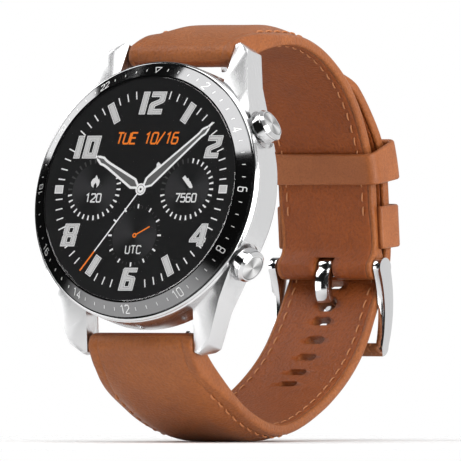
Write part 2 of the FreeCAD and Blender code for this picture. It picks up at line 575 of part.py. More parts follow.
def keepers():
    # free keeper: its section is swept round the arc's centre, so that it can slide along the strap
    half = BUCKLE_HALF + 0.85
    within, over = SHORT_R - KEEPER_CLEAR, TAIL_R + TAIL_THICK + KEEPER_CLEAR
    outer = band_section(half + KEEPER_THICK, within - KEEPER_THICK, over + KEEPER_THICK, 1.8)
    inner = band_section(half, within, over, 0.8)
    spread = math.degrees(KEEPER_WIDTH / 2 / TAIL_R)
    section = outer.cut(inner)
    section.rotate(V(0, 0, 0), V(1, 0, 0), KEEPER_ANGLE - spread)
    section.translate(loop_vector(ARC))
    node("free_keeper", section.revolve(loop_vector(ARC), V(1, 0, 0), 2 * spread))
    # fixed keeper: a bridge over the tail whose ends are sewn to the short strap's edges
    half = BUCKLE_HALF + 0.05
    low, high = FIXED_KEEPER
    outer = band_section(half + KEEPER_THICK, -8, KEEPER_THICK, 1.7)
    inner = band_section(half, -9, 0, 0.7)
    legs_end = box((-20, -10, -10), (20, -5.3, 20))
    bridge = outer.cut(inner).extrude(V(0, 0, high - low)).cut(legs_end)
    bridge.translate(V(0, 0, -(high - low) / 2))
    bridge.rotate(V(0, 0, 0), V(1, 0, 0), FIXED_KEEPER_TILT)
    bridge.translate(V(0, FIXED_KEEPER_FACE, (low + high) / 2))
    node("fixed_keeper", bridge)


def main():
    case_shells()
    case_insides()
    button_parts()
    upper_strap()
    lower_strap()
    buckle()
    tang()
    keepers()
    os.makedirs("parts", exist_ok=True)
    for name, shape in sorted(NODES.items()):
        shape.exportStep(f"parts/{name}.step")
        print(name, round(shape.Volume, 3), shape.isValid(), len(shape.Solids))


main()
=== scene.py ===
import json
import math

import bmesh
import bpy
import numpy as np
from mathutils import Matrix, Vector, noise
from mathutils.bvhtree import BVHTree
from mathutils.geometry import tessellate_polygon


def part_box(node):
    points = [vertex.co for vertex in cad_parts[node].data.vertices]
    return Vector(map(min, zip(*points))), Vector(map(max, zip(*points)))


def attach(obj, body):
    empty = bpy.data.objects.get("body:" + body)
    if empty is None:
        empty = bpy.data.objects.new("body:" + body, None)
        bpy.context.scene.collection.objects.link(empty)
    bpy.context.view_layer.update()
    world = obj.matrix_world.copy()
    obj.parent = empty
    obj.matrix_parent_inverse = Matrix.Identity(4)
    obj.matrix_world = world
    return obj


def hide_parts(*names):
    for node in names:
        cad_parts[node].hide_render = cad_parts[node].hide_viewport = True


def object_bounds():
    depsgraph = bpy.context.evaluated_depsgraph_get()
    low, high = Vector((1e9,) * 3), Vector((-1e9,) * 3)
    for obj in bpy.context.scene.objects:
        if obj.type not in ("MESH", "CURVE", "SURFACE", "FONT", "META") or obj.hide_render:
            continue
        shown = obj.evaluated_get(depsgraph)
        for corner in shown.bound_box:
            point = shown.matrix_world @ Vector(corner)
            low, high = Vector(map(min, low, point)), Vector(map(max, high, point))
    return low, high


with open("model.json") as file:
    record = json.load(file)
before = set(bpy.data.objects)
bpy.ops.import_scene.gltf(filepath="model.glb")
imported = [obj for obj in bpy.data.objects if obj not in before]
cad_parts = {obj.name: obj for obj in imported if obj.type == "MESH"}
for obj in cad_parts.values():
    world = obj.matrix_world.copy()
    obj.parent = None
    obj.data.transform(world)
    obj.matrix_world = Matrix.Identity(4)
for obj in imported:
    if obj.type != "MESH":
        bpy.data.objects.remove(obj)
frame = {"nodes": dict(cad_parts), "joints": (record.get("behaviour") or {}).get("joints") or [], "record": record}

CAD_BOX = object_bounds()
MM = 0.001
NODES = frame["nodes"]
JOINTS = {j["name"]: j for j in frame["joints"]}

# ---------------------------------------------------------------- the case's own axes
# OUT looks out of the display, TWELVE towards 12 o'clock, THREE towards 3 o'clock.

FACE = frame["record"]["mounts"][0]
OUT = -Vector(FACE["axis"]).normalized()
THREE = Vector((1, 0, 0))
TWELVE = OUT.cross(THREE).normalized()


def on_case(x, y, z):
    """Millimetres in the case's axes, from the centre of the case back, to the row frame in metres."""
    return (THREE * x + TWELVE * y + OUT * z) * MM


CASE_MATRIX = Matrix((THREE, TWELVE, OUT)).transposed().to_4x4()


def heights_on_case(node):
    """Lowest and highest point of a node along OUT, in millimetres."""
    h = [v.co.dot(OUT) / MM for v in NODES[node].data.vertices]
    return min(h), max(h)


def radii_on_case(node):
    """Smallest and largest distance of a node's points from the case's axis, in millimetres."""
    r = [math.hypot(v.co.dot(THREE), v.co.dot(TWELVE)) / MM for v in NODES[node].data.vertices]
    return min(r), max(r)


# ---------------------------------------------------------------- camera and light

CAMERA_AZIMUTH = 34.7      # degrees from straight in front, towards 3 o'clock
CAMERA_DISTANCE = 3.5      # metres
FRAME_WIDTH = 0.07907      # what the picture is wide at the object
SENSOR = 36.0
AIM_RIGHT = 0.00974
AIM_UP = -0.0047
LIGHT_DISTANCE = 0.9
SOFTBOXES = {              # direction from the object, width and height, brightness in a mirror
    "top_softbox": ((0.03, -0.35, 0.93), (0.84, 0.80), 3.0),
    "left_softbox": ((-0.88, 0.30, 0.38), (0.30, 0.28), 2.4),
    "upper_lug_card": ((-0.78, -0.22, 0.59), (0.54, 0.46), 3.4),
    "lower_lug_card": ((-0.80, -0.58, -0.06), (0.50, 0.40), 2.6),
    "right_softbox": ((0.93, -0.36, 0.06), (0.62, 0.9), 5.8),
}
ROOM_BRIGHT_SIDE = (0.55, 0.80, 0.20)
ROOM_FACING = (0.05, 0.7)  # dot product with the bright side where the room is darkest and brightest
ROOM_SHADES = (0.012, 1.15)
FLOOR_HALF = 0.14
FLOOR_GAP = 0.02 * MM
FLOOR_FADE = [(0.33, 1.0), (0.62, 0.0)]   # opacity by distance from the middle, in fifths of a metre


def in_scene(name, data):
    """New object that shows some data, linked to the scene."""
    thing = bpy.data.objects.new(name, data)
    bpy.context.scene.collection.objects.link(thing)
    return thing


def make_camera():
    a = math.radians(CAMERA_AZIMUTH)
    right = Vector((math.cos(a), math.sin(a), 0))
    back = Vector((math.sin(a), -math.cos(a), 0))
    aim = right * AIM_RIGHT + Vector((0, 0, AIM_UP))
    data = bpy.data.cameras.new("camera")
    data.sensor_width = SENSOR
    data.lens = SENSOR * CAMERA_DISTANCE / FRAME_WIDTH
    data.clip_end = 20
    camera = in_scene("camera", data)
    camera.matrix_world = Matrix((right, Vector((0, 0, 1)), back)).transposed().to_4x4()
    camera.location = aim + back * CAMERA_DISTANCE
    bpy.context.scene.camera = camera


def softbox(name, direction, size, brightness):
    """Area light that faces the object."""
    data = bpy.data.lights.new(name, "AREA")
    data.shape = "RECTANGLE"
    data.size, data.size_y = size
    data.energy = math.pi * size[0] * size[1] * brightness
    light = in_scene(name, data)
    towards = Vector(direction).normalized()
    light.location = towards * LIGHT_DISTANCE
    light.rotation_euler = towards.to_track_quat("Z", "Y").to_euler()
    light.visible_camera = False


def make_light():
    """Softboxes, and a room that lights the object from one side but looks white to the camera."""
    for name, settings in SOFTBOXES.items():
        softbox(name, *settings)
    world = bpy.data.worlds.new("studio")
    bpy.context.scene.world = world
    world.use_nodes = True
    nodes, links = world.node_tree.nodes, world.node_tree.links
    nodes.clear()
    seen = nodes.new("ShaderNodeBackground")
    seen.inputs["Color"].default_value = (1, 1, 1, 1)
    seen.inputs["Strength"].default_value = 1.0
    room = nodes.new("ShaderNodeBackground")
    place = nodes.new("ShaderNodeTexCoord")
    facing = nodes.new("ShaderNodeVectorMath")
    facing.operation = "DOT_PRODUCT"
    facing.inputs[1].default_value = ROOM_BRIGHT_SIDE
    shade = nodes.new("ShaderNodeMapRange")
    for socket, value in zip(("From Min", "From Max", "To Min", "To Max"), ROOM_FACING + ROOM_SHADES):
        shade.inputs[socket].default_value = value
    links.new(place.outputs["Generated"], facing.inputs[0])
    links.new(facing.outputs["Value"], shade.inputs["Value"])
    links.new(shade.outputs["Result"], room.inputs["Strength"])
    path = nodes.new("ShaderNodeLightPath")
    mix = nodes.new("ShaderNodeMixShader")
    out = nodes.new("ShaderNodeOutputWorld")
    links.new(path.outputs["Is Camera Ray"], mix.inputs["Fac"])
    links.new(room.outputs[0], mix.inputs[1])
    links.new(seen.outputs[0], mix.inputs[2])
    links.new(mix.outputs[0], out.inputs["Surface"])
    scene = bpy.context.scene
    scene.view_settings.view_transform = "Standard"
    scene.view_settings.look = "None"


def make_floor():
    """White ground that fades out well before its edge."""
    z = CAD_BOX[0][2] - FLOOR_GAP
    corners = [(x * FLOOR_HALF, y * FLOOR_HALF, z) for x, y in ((-1, -1), (1, -1), (1, 1), (-1, 1))]
    mesh = bpy.data.meshes.new("floor")
    mesh.from_pydata(corners, [], [(0, 1, 2, 3)])
    floor = in_scene("floor", mesh)
    g = Graph("floor_paper")
    level_place = g.add("ShaderNodeMapping", {"Vector": g.place, "Scale": (5, 5, 0)})
    away = g.add("ShaderNodeVectorMath", {0: level_place}, out=1, operation="LENGTH")
    g.shader(Base_Color=g.mix(g.noise(600.0, 3.0), grey(0.90), grey(0.93)), Roughness=0.7,
             Alpha=g.ramp(away, FLOOR_FADE))
    floor.data.materials.append(g.material)

# ---------------------------------------------------------------- material graphs


class Graph:
    """Small helper that writes a node material: every call returns an output socket."""

    def __init__(self, name):
        self.material = bpy.data.materials.new(name)
        self.material.use_nodes = True
        self.nodes = self.material.node_tree.nodes
        self.links = self.material.node_tree.links
        self.nodes.clear()
        self.place = self.nodes.new("ShaderNodeTexCoord").outputs["Object"]

    def feed(self, socket, value):
        if isinstance(value, bpy.types.NodeSocket):
            self.links.new(value, socket)
        elif isinstance(value, (tuple, list)) and len(value) == 3 and socket.type == "RGBA":
            socket.default_value = (*value, 1)
        else:
            socket.default_value = value

    def add(self, kind, inputs, out=0, **settings):
        node = self.nodes.new(kind)
        for key, value in settings.items():
            setattr(node, key, value)
        for key, value in inputs.items():
            self.feed(node.inputs[key], value)
        return node.outputs[out]

    def space(self, turned, centre=(0, 0, 0), scale=(1, 1, 1)):
        """Texture space that is turned, moved and stretched against the object's."""
        inputs = {"Vector": self.place, "Location": tuple(centre), "Rotation": tuple(turned.to_euler()),
                  "Scale": scale}
        return self.add("ShaderNodeMapping", inputs, vector_type="TEXTURE")

    def noise(self, scale, detail=2.0, roughness=0.5, vector=None, distortion=0.0):
        inputs = {"Vector": vector or self.place, "Scale": scale, "Detail": detail, "Roughness": roughness,
                  "Distortion": distortion}
        return self.add("ShaderNodeTexNoise", inputs)

    def ramp(self, value, stops):
        node = self.nodes.new("ShaderNodeValToRGB")
        self.links.new(value, node.inputs[0])
        elements = node.color_ramp.elements
        elements[0].position, elements[1].position = stops[0][0], stops[-1][0]
        for position, _ in stops[1:-1]:
            elements.new(position)
        for element, (_, colour) in zip(sorted(elements, key=lambda e: e.position), stops):
            element.color = (*(colour if isinstance(colour, tuple) else grey(colour)), 1)
        return node.outputs[0]

    def math(self, operation, a, b=0.0):
        return self.add("ShaderNodeMath", {0: a, 1: b}, operation=operation)

    def scaled(self, value, factor, plus=0.0):
        return self.math("ADD", self.math("MULTIPLY", value, factor), plus)

    def mix(self, factor, a, b):
        return self.add("ShaderNodeMix", {"Factor": factor, 6: a, 7: b}, out=2, data_type="RGBA")

    def bump(self, height, strength, distance):
        return self.add("ShaderNodeBump", {"Height": height, "Strength": strength, "Distance": distance})

    def shader(self, **inputs):
        """Principled shader; spaces in the socket names are underscores."""
        node = self.nodes.new("ShaderNodeBsdfPrincipled")
        for key, value in inputs.items():
            self.feed(node.inputs[key.replace("_", " ")], value)
        out = self.nodes.new("ShaderNodeOutputMaterial")
        self.links.new(node.outputs[0], out.inputs["Surface"])
        return self.material

    def glow(self, colour):
        """Lit part of the picture: it shines in a colour and hardly mirrors."""
        return self.shader(Base_Color=grey(0.01), Roughness=0.9, Specular_IOR_Level=0.0,
                           Emission_Color=colour, Emission_Strength=1.0)


# ---------------------------------------------------------------- materials


def grey(value):
    return (value, value, value)


def times(colour, share):
    return tuple(c * share for c in colour)


METALS = {                 # colour, roughness, how much it varies, then size and depth of brush marks in mm
    "steel_brushed": ((0.72, 0.72, 0.725), 0.26, 0.08, (9.0, 9.0, 0.07), 0.002),
    "steel_polished": ((0.66, 0.66, 0.665), 0.10, 0.05),
    "spring_steel": ((0.6, 0.6, 0.61), 0.3, 0.1),
    "shield_tin": ((0.72, 0.72, 0.7), 0.38, 0.1),
    "battery_foil": ((0.6, 0.61, 0.62), 0.42, 0.12),
    "contact_gold": ((0.95, 0.72, 0.32), 0.2, 0.08),
    "bezel_ceramic": ((0.24, 0.24, 0.243), 0.10, 0.04),
    "ring_marks": (grey(0.78), 0.45, 0.1),
}
PLASTICS = {               # colour, roughness, then size and depth of the grain in mm
    "case_back": ((0.02, 0.02, 0.021), 0.32, 0.1, 0.006),
    "sensor_glass": ((0.006, 0.006, 0.008), 0.1, 0.4, 0.001),
    "black_plastic": (grey(0.02), 0.5),
    "rubber_seal": (grey(0.02), 0.65),
    "circuit_board": ((0.01, 0.08, 0.04), 0.4, 0.5, 0.01),
    "flex_circuit": ((0.45, 0.2, 0.04), 0.35),
    "leather_core": ((0.36, 0.26, 0.18), 0.85, 0.3, 0.05),
    "thread_outer": ((0.46, 0.165, 0.055), 0.6, 0.1, 0.02),
    "thread_lining": ((0.42, 0.165, 0.062), 0.6, 0.1, 0.02),
}
LEATHERS = {               # darkest and lightest colour, size and depth of the pebbles in mm, roughness
    "leather_outer": ((0.275, 0.077, 0.017), (0.41, 0.129, 0.030), 0.48, 0.15, 0.44),
    "leather_lining": ((0.24, 0.054, 0.008), (0.36, 0.088, 0.014), 0.50, 0.19, 0.50),
    "leather_keeper": ((0.28, 0.082, 0.022), (0.41, 0.135, 0.040), 0.30, 0.05, 0.44),
}
LIT = {
    "dial_face": (0.0112, 0.0112, 0.0116),
    "dial_white": grey(0.84),
    "dial_edge": grey(0.74),
    "dial_fill": grey(0.56),
    "dial_inset": grey(0.115),
    "dial_dim": grey(0.055),
    "dial_orange": (0.88, 0.215, 0.025),
}
FINE_RAYS = 160.0          # in one turn of a sunray


def metal(name, colour, roughness, spread, grain=None, depth=0.0):
    """Steel and its kin; grain is the size of a brush mark along the case's axes."""
    g = Graph(name)
    smudge = g.noise(160.0, 3.0, 0.6)
    if grain:
        lines = g.noise(1.0, 3.0, 0.65, vector=g.space(CASE_MATRIX, scale=times(grain, MM)))
        rough = g.scaled(lines, spread, g.math("MULTIPLY", smudge, spread / 2))
        rough = g.math("ADD", rough, roughness - 0.75 * spread)
        return g.shader(Base_Color=g.mix(lines, times(colour, 0.90), colour), Metallic=1.0, Roughness=rough,
                        Normal=g.bump(lines, 0.35, depth * MM))
    return g.shader(Base_Color=g.mix(smudge, times(colour, 0.96), colour), Metallic=1.0,
                    Roughness=g.scaled(smudge, spread, roughness - spread / 2))


def plastic(name, colour, roughness, grain_mm=0.12, depth=0.01, **extra):
    g = Graph(name)
    fine = g.noise(1.0 / (grain_mm * MM), 2.0)
    shade = g.mix(g.noise(250.0, 2.0), times(colour, 0.85), tuple(min(1.0, c * 1.1) for c in colour))
    return g.shader(Base_Color=shade, Roughness=g.scaled(fine, 0.12, roughness - 0.06),
                    Normal=g.bump(fine, 0.3, depth * MM), **extra)


def leather(name, dark, light, pebble_mm, depth, roughness):
    """Tan hide: pores and pebbles in the bump, cloudy colour, a waxy sheen."""
    g = Graph(name)
    warp = {"Factor": 0.0006, 4: g.place, 5: g.noise(900.0, 1.0)}
    cells = {"Vector": g.add("ShaderNodeMix", warp, out=1, data_type="VECTOR"), "Scale": 1 / (pebble_mm * MM)}
    pebble = g.add("ShaderNodeTexVoronoi", cells, feature="SMOOTH_F1")
    pores = g.noise(1.0 / (0.16 * MM), 3.0, 0.7)
    cloud = g.noise(140.0, 4.0, 0.55, distortion=0.6)
    relief = g.scaled(pebble, 0.9, g.math("MULTIPLY", pores, 0.45))
    middle = tuple((a + b) / 2 for a, b in zip(dark, light))
    colour = g.ramp(cloud, [(0.25, dark), (0.55, middle), (0.8, light)])
    colour = g.mix(g.ramp(pores, [(0.35, 0.55), (0.6, 0.0)]), colour, times(dark, 0.72))
    colour = g.mix(g.ramp(pebble, [(0.1, 0.45), (0.55, 0.0)]), colour, times(dark, 0.62))
    return g.shader(Base_Color=colour, Roughness=g.scaled(cloud, 0.22, roughness - 0.11),
                    Specular_IOR_Level=0.34, Sheen_Weight=0.05, Sheen_Roughness=0.45,
                    Sheen_Tint=(0.9, 0.55, 0.35), Normal=g.bump(relief, 0.9, depth * MM))


def lit(name, colour):
    """Part of the picture that the display shows."""
    g = Graph(name)
    return g.glow(g.mix(g.noise(1.0 / (0.05 * MM), 1.0), times(colour, 0.94), colour))


def sunray_painted_sheen(name, centre, turned, sectors, low, high, phase, glows=False):
    """Rays brushed from the middle outwards, and painted sheen in sectors from low to high, turned by phase in
    degrees.
    """
    g = Graph(name)
    turn = g.add("ShaderNodeTexGradient", {"Vector": g.space(turned, centre)}, out=1, gradient_type="RADIAL")
    rays = g.noise(1.0, 3.0, 0.7, g.add("ShaderNodeCombineXYZ", {0: g.math("MULTIPLY", turn, FINE_RAYS)}))
    # Light and dark sectors: on metal they are a painted reflection, not the brushing.
    wave = g.math("SINE", g.scaled(turn, 2 * math.pi * sectors, math.radians(phase) * sectors))
    wave = g.scaled(wave, 0.38, g.math("MULTIPLY", rays, 0.12 if glows else 0.5))
    shade = g.ramp(g.math("ADD", wave, 0.25), [(0.0, low), (1.0, high)])
    if glows:
        return g.glow(shade)
    return g.shader(Base_Color=shade, Metallic=1.0, Roughness=0.24, Normal=g.bump(rays, 0.5, 0.01 * MM))


def make_materials():
    """Materials by slot name; the two pusher inlays have their own, by node name."""
    m = {name: metal(name, *settings) for name, settings in METALS.items()}
    m |= {name: plastic(name, *settings) for name, settings in PLASTICS.items()}
    m |= {name: leather(name, *settings) for name, settings in LEATHERS.items()}
    m |= {name: lit(name, colour) for name, colour in LIT.items()}
    m["display"] = plastic("display", grey(0.006), 0.5, Specular_IOR_Level=0.1)
    g = Graph("cover_glass")
    veil = g.math("MULTIPLY", g.noise(90.0, 2.0), 0.012)
    m["cover_glass"] = g.shader(Base_Color=grey(1), Transmission_Weight=1.0, IOR=1.45,
                                Specular_IOR_Level=0.12, Roughness=veil)
    for side in ("upper", "lower"):
        low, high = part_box(f"{side}_pusher_inlay")
        seat = (low + high) / 2
        outward = (THREE * seat.dot(THREE) + TWELVE * seat.dot(TWELVE)).normalized()
        turned = outward.to_track_quat("Z", "Y").to_matrix()
        # Painted reflection: the inlays' light and dark sectors copy how the brushed metal mirrors the room; only
        # the fine rays are its brushing.
        m[f"{side}_pusher_inlay"] = sunray_painted_sheen(f"{side}_pusher_sunray_painted_reflection", seat, turned, sectors=3, low=grey(0.20),
                                           high=grey(0.86), phase=20)
    return m


# ---------------------------------------------------------------- pieces


def shell(name, points, faces):
    """New object from points and faces, every face turned outwards."""
    mesh = bpy.data.meshes.new(name)
    mesh.from_pydata([tuple(p) for p in points], [], faces)
    mesh.validate()
    loose = bmesh.new()
    loose.from_mesh(mesh)
    bmesh.ops.recalc_face_normals(loose, faces=loose.faces)
    loose.to_mesh(mesh)
    loose.free()
    return in_scene(name, mesh)


def mesh_piece(name, points, faces, body, slot, material, smooth=True):
    piece = shell(name, points, faces)
    piece.data.polygons.foreach_set("use_smooth", [smooth] * len(piece.data.polygons))
    piece.data.materials.append(material)
    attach(piece, body)
    return piece


def loft(sections, closed_length=False):
    """Points and faces through closed cross-sections of equal count, capped unless they close a ring."""
    count = len(sections[0])
    points = [p for section in sections for p in section]
    faces = []
    last = len(sections) if closed_length else len(sections) - 1
    for i in range(last):
        j = (i + 1) % len(sections)
        for k in range(count):
            n = (k + 1) % count
            faces.append((i * count + k, i * count + n, j * count + n, j * count + k))
    if not closed_length:
        faces.append(tuple(range(count)))
        faces.append(tuple(reversed(range((len(sections) - 1) * count, len(sections) * count))))
    return points, faces


def applied(piece):
    """Replaces a piece's mesh by what its modifiers make of it."""
    graph = bpy.context.evaluated_depsgraph_get()
    done = bpy.data.meshes.new_from_object(piece.evaluated_get(graph), depsgraph=graph)
    piece.modifiers.clear()
    piece.data = done
    return piece


# ---------------------------------------------------------------- CAD metal and plastic

CREASE = math.radians(28)
WELD_WITHIN = 0.0005 * MM
ROUNDING = {"case_frame": 0.10, "buckle_frame": 0.16, "buckle_tang": 0.14, "front_trim": 0.05}   # mm


def dress_frame(materials):
    """Every CAD node gets its slot's material and smooth curved faces, some also rounded sharp edges."""
    slots = {s["node"]: s["material_slot"] for s in frame["record"]["subparts"]}
    for name, node in NODES.items():
        mesh = node.data
        mesh.materials.clear()
        mesh.materials.append(materials.get(name, materials[slots[name]]))
        mesh.polygons.foreach_set("use_smooth", [True] * len(mesh.polygons))
        node.modifiers.new("weld", "WELD").merge_threshold = WELD_WITHIN
        if name in ROUNDING:
            bevel = node.modifiers.new("edges", "BEVEL")
            bevel.width = ROUNDING[name] * MM
            bevel.segments = 2
            bevel.limit_method = "ANGLE"
            bevel.angle_limit = CREASE
            bevel.harden_normals = False
        split = node.modifiers.new("creases", "EDGE_SPLIT")
        split.split_angle = CREASE


# ---------------------------------------------------------------- leather strap

LOOP = Vector(JOINTS["keeper_slide"]["pos_m"])
BUCKLE_BAR = Vector(JOINTS["buckle_swing"]["pos_m"])
EDGE = 1.85 * MM           # thickness at the turned edge
FLARE = 11 * MM            # a strap widens to its full width over this length past the lugs
BAR_CLEAR = 1.2 * MM       # what lies further than this from a bar's axis is its lever
LEVER_TRAVEL = 1.3 * MM    # as far as the record lets the lever slide
LEVER_ROOM = 0.25 * MM
NOTCH_DEPTHS = (0.6 * MM, 5 * MM)   # a lever's notch starts and ends this far from the bar's axis
TANG_NOTCH = ((-2.0, -5.0, -5.0), (2.0, 1.9, 1.7))   # its corners from the buckle bar, in millimetres
SEAM_INSET = 2.0 * MM      # stitch line from the edge
GROOVE_DEPTH = 0.14 * MM   # what the stitches pull the leather down by
STITCH_PITCH = 2.49 * MM
STITCH_LENGTH = 1.81 * MM
LINING_PROUD = 0.06 * MM
SLOT_HALF_LENGTH = 2.0 * MM
SLOT_HALF_WIDTH = 0.82 * MM
WORN_SLOT_HALF_WIDTH = 1.45 * MM    # the hole in use is wider, so that the tang clears it when it moves
SLOT_DEPTH = 4 * MM
SWELL = 170                # waves of the leather's swelling in a metre
# distances from the edge, in millimetres, at which the crown is drawn
CROWN_STEPS = (1.0, 1.2, 1.4, 1.55, 1.7, 1.8, 1.9, 2.0, 2.1, 2.2, 2.3, 2.45, 2.6, 2.8, 3.1, 3.5, 4.0, 4.6,
               5.3, 6.1)


def surface(*names):
    """All the triangles of some CAD nodes, for rays."""
    points, faces = [], []
    for name in names:
        mesh = NODES[name].data
        start = len(points)
        points += [v.co.copy() for v in mesh.vertices]
        faces += [[start + i for i in p.vertices] for p in mesh.polygons]
    return BVHTree.FromPolygons(points, faces)


def ray_hits(tree, origin, direction):
    """Distances along a ray at which it meets a surface, nearest first."""
    hits, travelled = [], 0.0
    step = 0.001 * MM
    start = origin.copy()
    while True:
        spot, _, _, distance = tree.ray_cast(start, direction)
        if spot is None:
            return hits
        travelled += distance + step
        hits.append(travelled)
        start = spot + direction * step


def around(angle):
    """Direction from the middle of the loop, the angle counted up from level at the back."""
    return Vector((0, math.cos(angle), math.sin(angle)))


def angle_of(point):
    return math.atan2(point.z - LOOP.z, point.y - LOOP.y)


def blend_steps(x):
    x = min(1.0, max(0.0, x))
    return x * x * (3 - 2 * x)


def crown_height(from_edge, thick, edge):
    """Height of the outer face above the inside: a flat stitched margin, then the padded crown."""
    rise = blend_steps((from_edge - 0.4 * MM) / (5.4 * MM)) ** 0.8
    groove = GROOVE_DEPTH * math.exp(-((from_edge - SEAM_INSET) / (0.32 * MM)) ** 2)
    return edge + (thick - edge) * rise - groove


class Station:
    """One cross-section of a strap: its inside and outside point in the middle, and its half-width."""

    def __init__(self, low, high, half, edge):
        self.low, self.high, self.half = low, high, half
        self.out = (high - low).normalized()
        self.thick = (high - low).length
        self.edge = min(edge, self.thick)

    def point(self, across, height):
        return self.low + self.out * height + Vector((across, 0, 0))

    def outside(self, across):
        return self.point(across, crown_height(self.half - abs(across), self.thick, self.edge))


class StrapShape:
    """Stations of one strap half, read from its CAD solids along rays from the middle of the loop."""

    SPACING = 0.5 * MM
    PLAIN = -6.0 * MM      # a section that no hole, notch or lever slot crosses
    TAIL_PLAIN = -0.5 * MM
    BETWEEN_LUGS = 10.9 * MM
    TAIL_FROM = math.radians(25)

    def __init__(self, side, bar, end_angle, end_bar=None):
        tree = surface(f"{side}_strap_leather", f"{side}_strap_lining")
        start = angle_of(bar)
        self.turn = 1 if end_angle > start else -1
        count = int(abs(end_angle - start) * 30 * MM / self.SPACING)
        angles = np.linspace(start, end_angle, count)
        rows = []
        for angle in angles:
            x = self.TAIL_PLAIN if self.turn > 0 and angle > self.TAIL_FROM else self.PLAIN
            origin = Vector((x, LOOP.y, LOOP.z))
            hits = ray_hits(tree, origin, around(angle))
            depths = [hits[0] + f * (hits[-1] - hits[0]) for f in (0.1, 0.25, 0.4)]
            half = max(self.half_width(tree, angle, depth) for depth in depths)
            rows.append((hits[0], hits[-1], half))
        rows = np.array(rows)
        for _ in range(4):
            rows[1:-1] = (rows[:-2] + 2 * rows[1:-1] + rows[2:]) / 4
        self.stations = []
        base = Vector((0, LOOP.y, LOOP.z))
        for angle, (low, high, half) in zip(angles, rows):
            middle = base + around(angle) * (low + high) / 2
            thick = high - low
            past_bar = (middle - bar).length
            full = 1 - blend_steps((past_bar - 1.2 * MM) / (14.0 * MM))
            widened = math.sin(math.pi / 2 * min(1.0, max(0.0, (past_bar - 3 * MM) / FLARE)))
            half = min(half, self.BETWEEN_LUGS + (half - self.BETWEEN_LUGS) * widened)
            if end_bar is not None:
                full = max(full, 1 - blend_steps(((middle - end_bar).length - 2.4 * MM) / (1.6 * MM)))
            edge = full * thick + (1 - full) * min(EDGE, thick * 0.9)
            self.stations.append(Station(base + around(angle) * low, base + around(angle) * high, half, edge))
        self.angles = list(angles)

    def half_width(self, tree, angle, radius):
        """How far out the strap's side lies, met from well outside it."""
        far = 40 * MM
        start = Vector((far, LOOP.y, LOOP.z)) + around(angle) * radius
        hits = ray_hits(tree, start, Vector((-1, 0, 0)))
        return far - hits[0] if hits else 0.0

    def rounded_end(self, station, along, narrowing, steps=6):
        """Stations that close a strap end with a half circle."""
        middle, span = (station.low + station.high) / 2, (station.high - station.low) / 2
        out = []
        for k in range(1, steps + 1):
            a = k * math.radians(82) / steps
            centre = middle + along * span.length * math.sin(a)
            low, high = centre - span * math.cos(a), centre + span * math.cos(a)
            out.append(Station(low, high, station.half - narrowing * (1 - math.cos(a)), station.edge))
        return out

    def whole(self):
        """All stations with both rounded ends."""
        first, last = self.stations[0], self.stations[-1]
        turn = Vector((0, -math.sin(self.angles[0]), math.cos(self.angles[0]))) * -self.turn
        head = self.rounded_end(first, turn, 0.3 * MM)
        turn = Vector((0, -math.sin(self.angles[-1]), math.cos(self.angles[-1]))) * self.turn
        narrowing = 1.6 * MM if self.turn > 0 else 0.3 * MM
        return head[::-1] + self.stations + self.rounded_end(last, turn, narrowing)


def half_section(station):
    """Right half of a strap's cross-section, from under its edge up to the crown, as (across, height)."""
    half, edge = station.half, station.edge
    under, over = min(0.5 * MM, edge * 0.3), min(0.75 * MM, edge * 0.45)
    rim = []
    for k in range(5):
        a = -math.pi / 2 + k * math.pi / 8
        rim.append((half - under + under * math.cos(a), under + under * math.sin(a)))
    for k in range(6):
        a = k * math.pi / 10
        rim.append((half - over + over * math.cos(a), edge - over + over * math.sin(a)))
    reach = min(1.0, half / (7.5 * MM))
    inward = [s * MM * reach for s in CROWN_STEPS]
    inward += [inward[-1] + (half - inward[-1]) * f for f in (0.25, 0.5, 0.75)]
    return rim + [(half - s, crown_height(s, station.thick, edge)) for s in inward]


def leather_section(station):
    """Closed cross-section of the outer leather, its edges turned under."""
    lip = station.half - 0.95 * MM
    lid = min(0.35 * MM, station.thick * 0.3)
    side = [(lip, lid), (lip, 0.02 * MM)] + half_section(station)
    top = (0.0, crown_height(station.half, station.thick, station.edge))
    points = []
    for x, h in side + [top] + [(-x, h) for x, h in reversed(side)]:
        place = station.point(x, h)
        swell = noise.noise(Vector((x * SWELL + 3.0, place.y * SWELL, place.z * SWELL)))
        points.append(place + station.out * (0.05 * MM * swell if h > lid else 0.0))
    return points


def lining_section(station):
    """Thin closed lining that lies between the turned edges, its border rolled in a little."""
    wide = station.half - 0.90 * MM
    proud, back = -LINING_PROUD, min(0.30 * MM, station.thick * 0.28)
    ring = [(wide, back), (wide, 0.10 * MM), (wide - 0.06 * MM, 0.02 * MM), (wide - 0.22 * MM, proud),
            (wide - 0.7 * MM, proud)]
    ring += [((wide - 0.7 * MM) * f, proud) for f in (0.8, 0.6, 0.4, 0.2, 0.0)]
    ring += [(-x, h) for x, h in reversed(ring[:-1])]
    return [station.point(x, h) for x, h in ring]


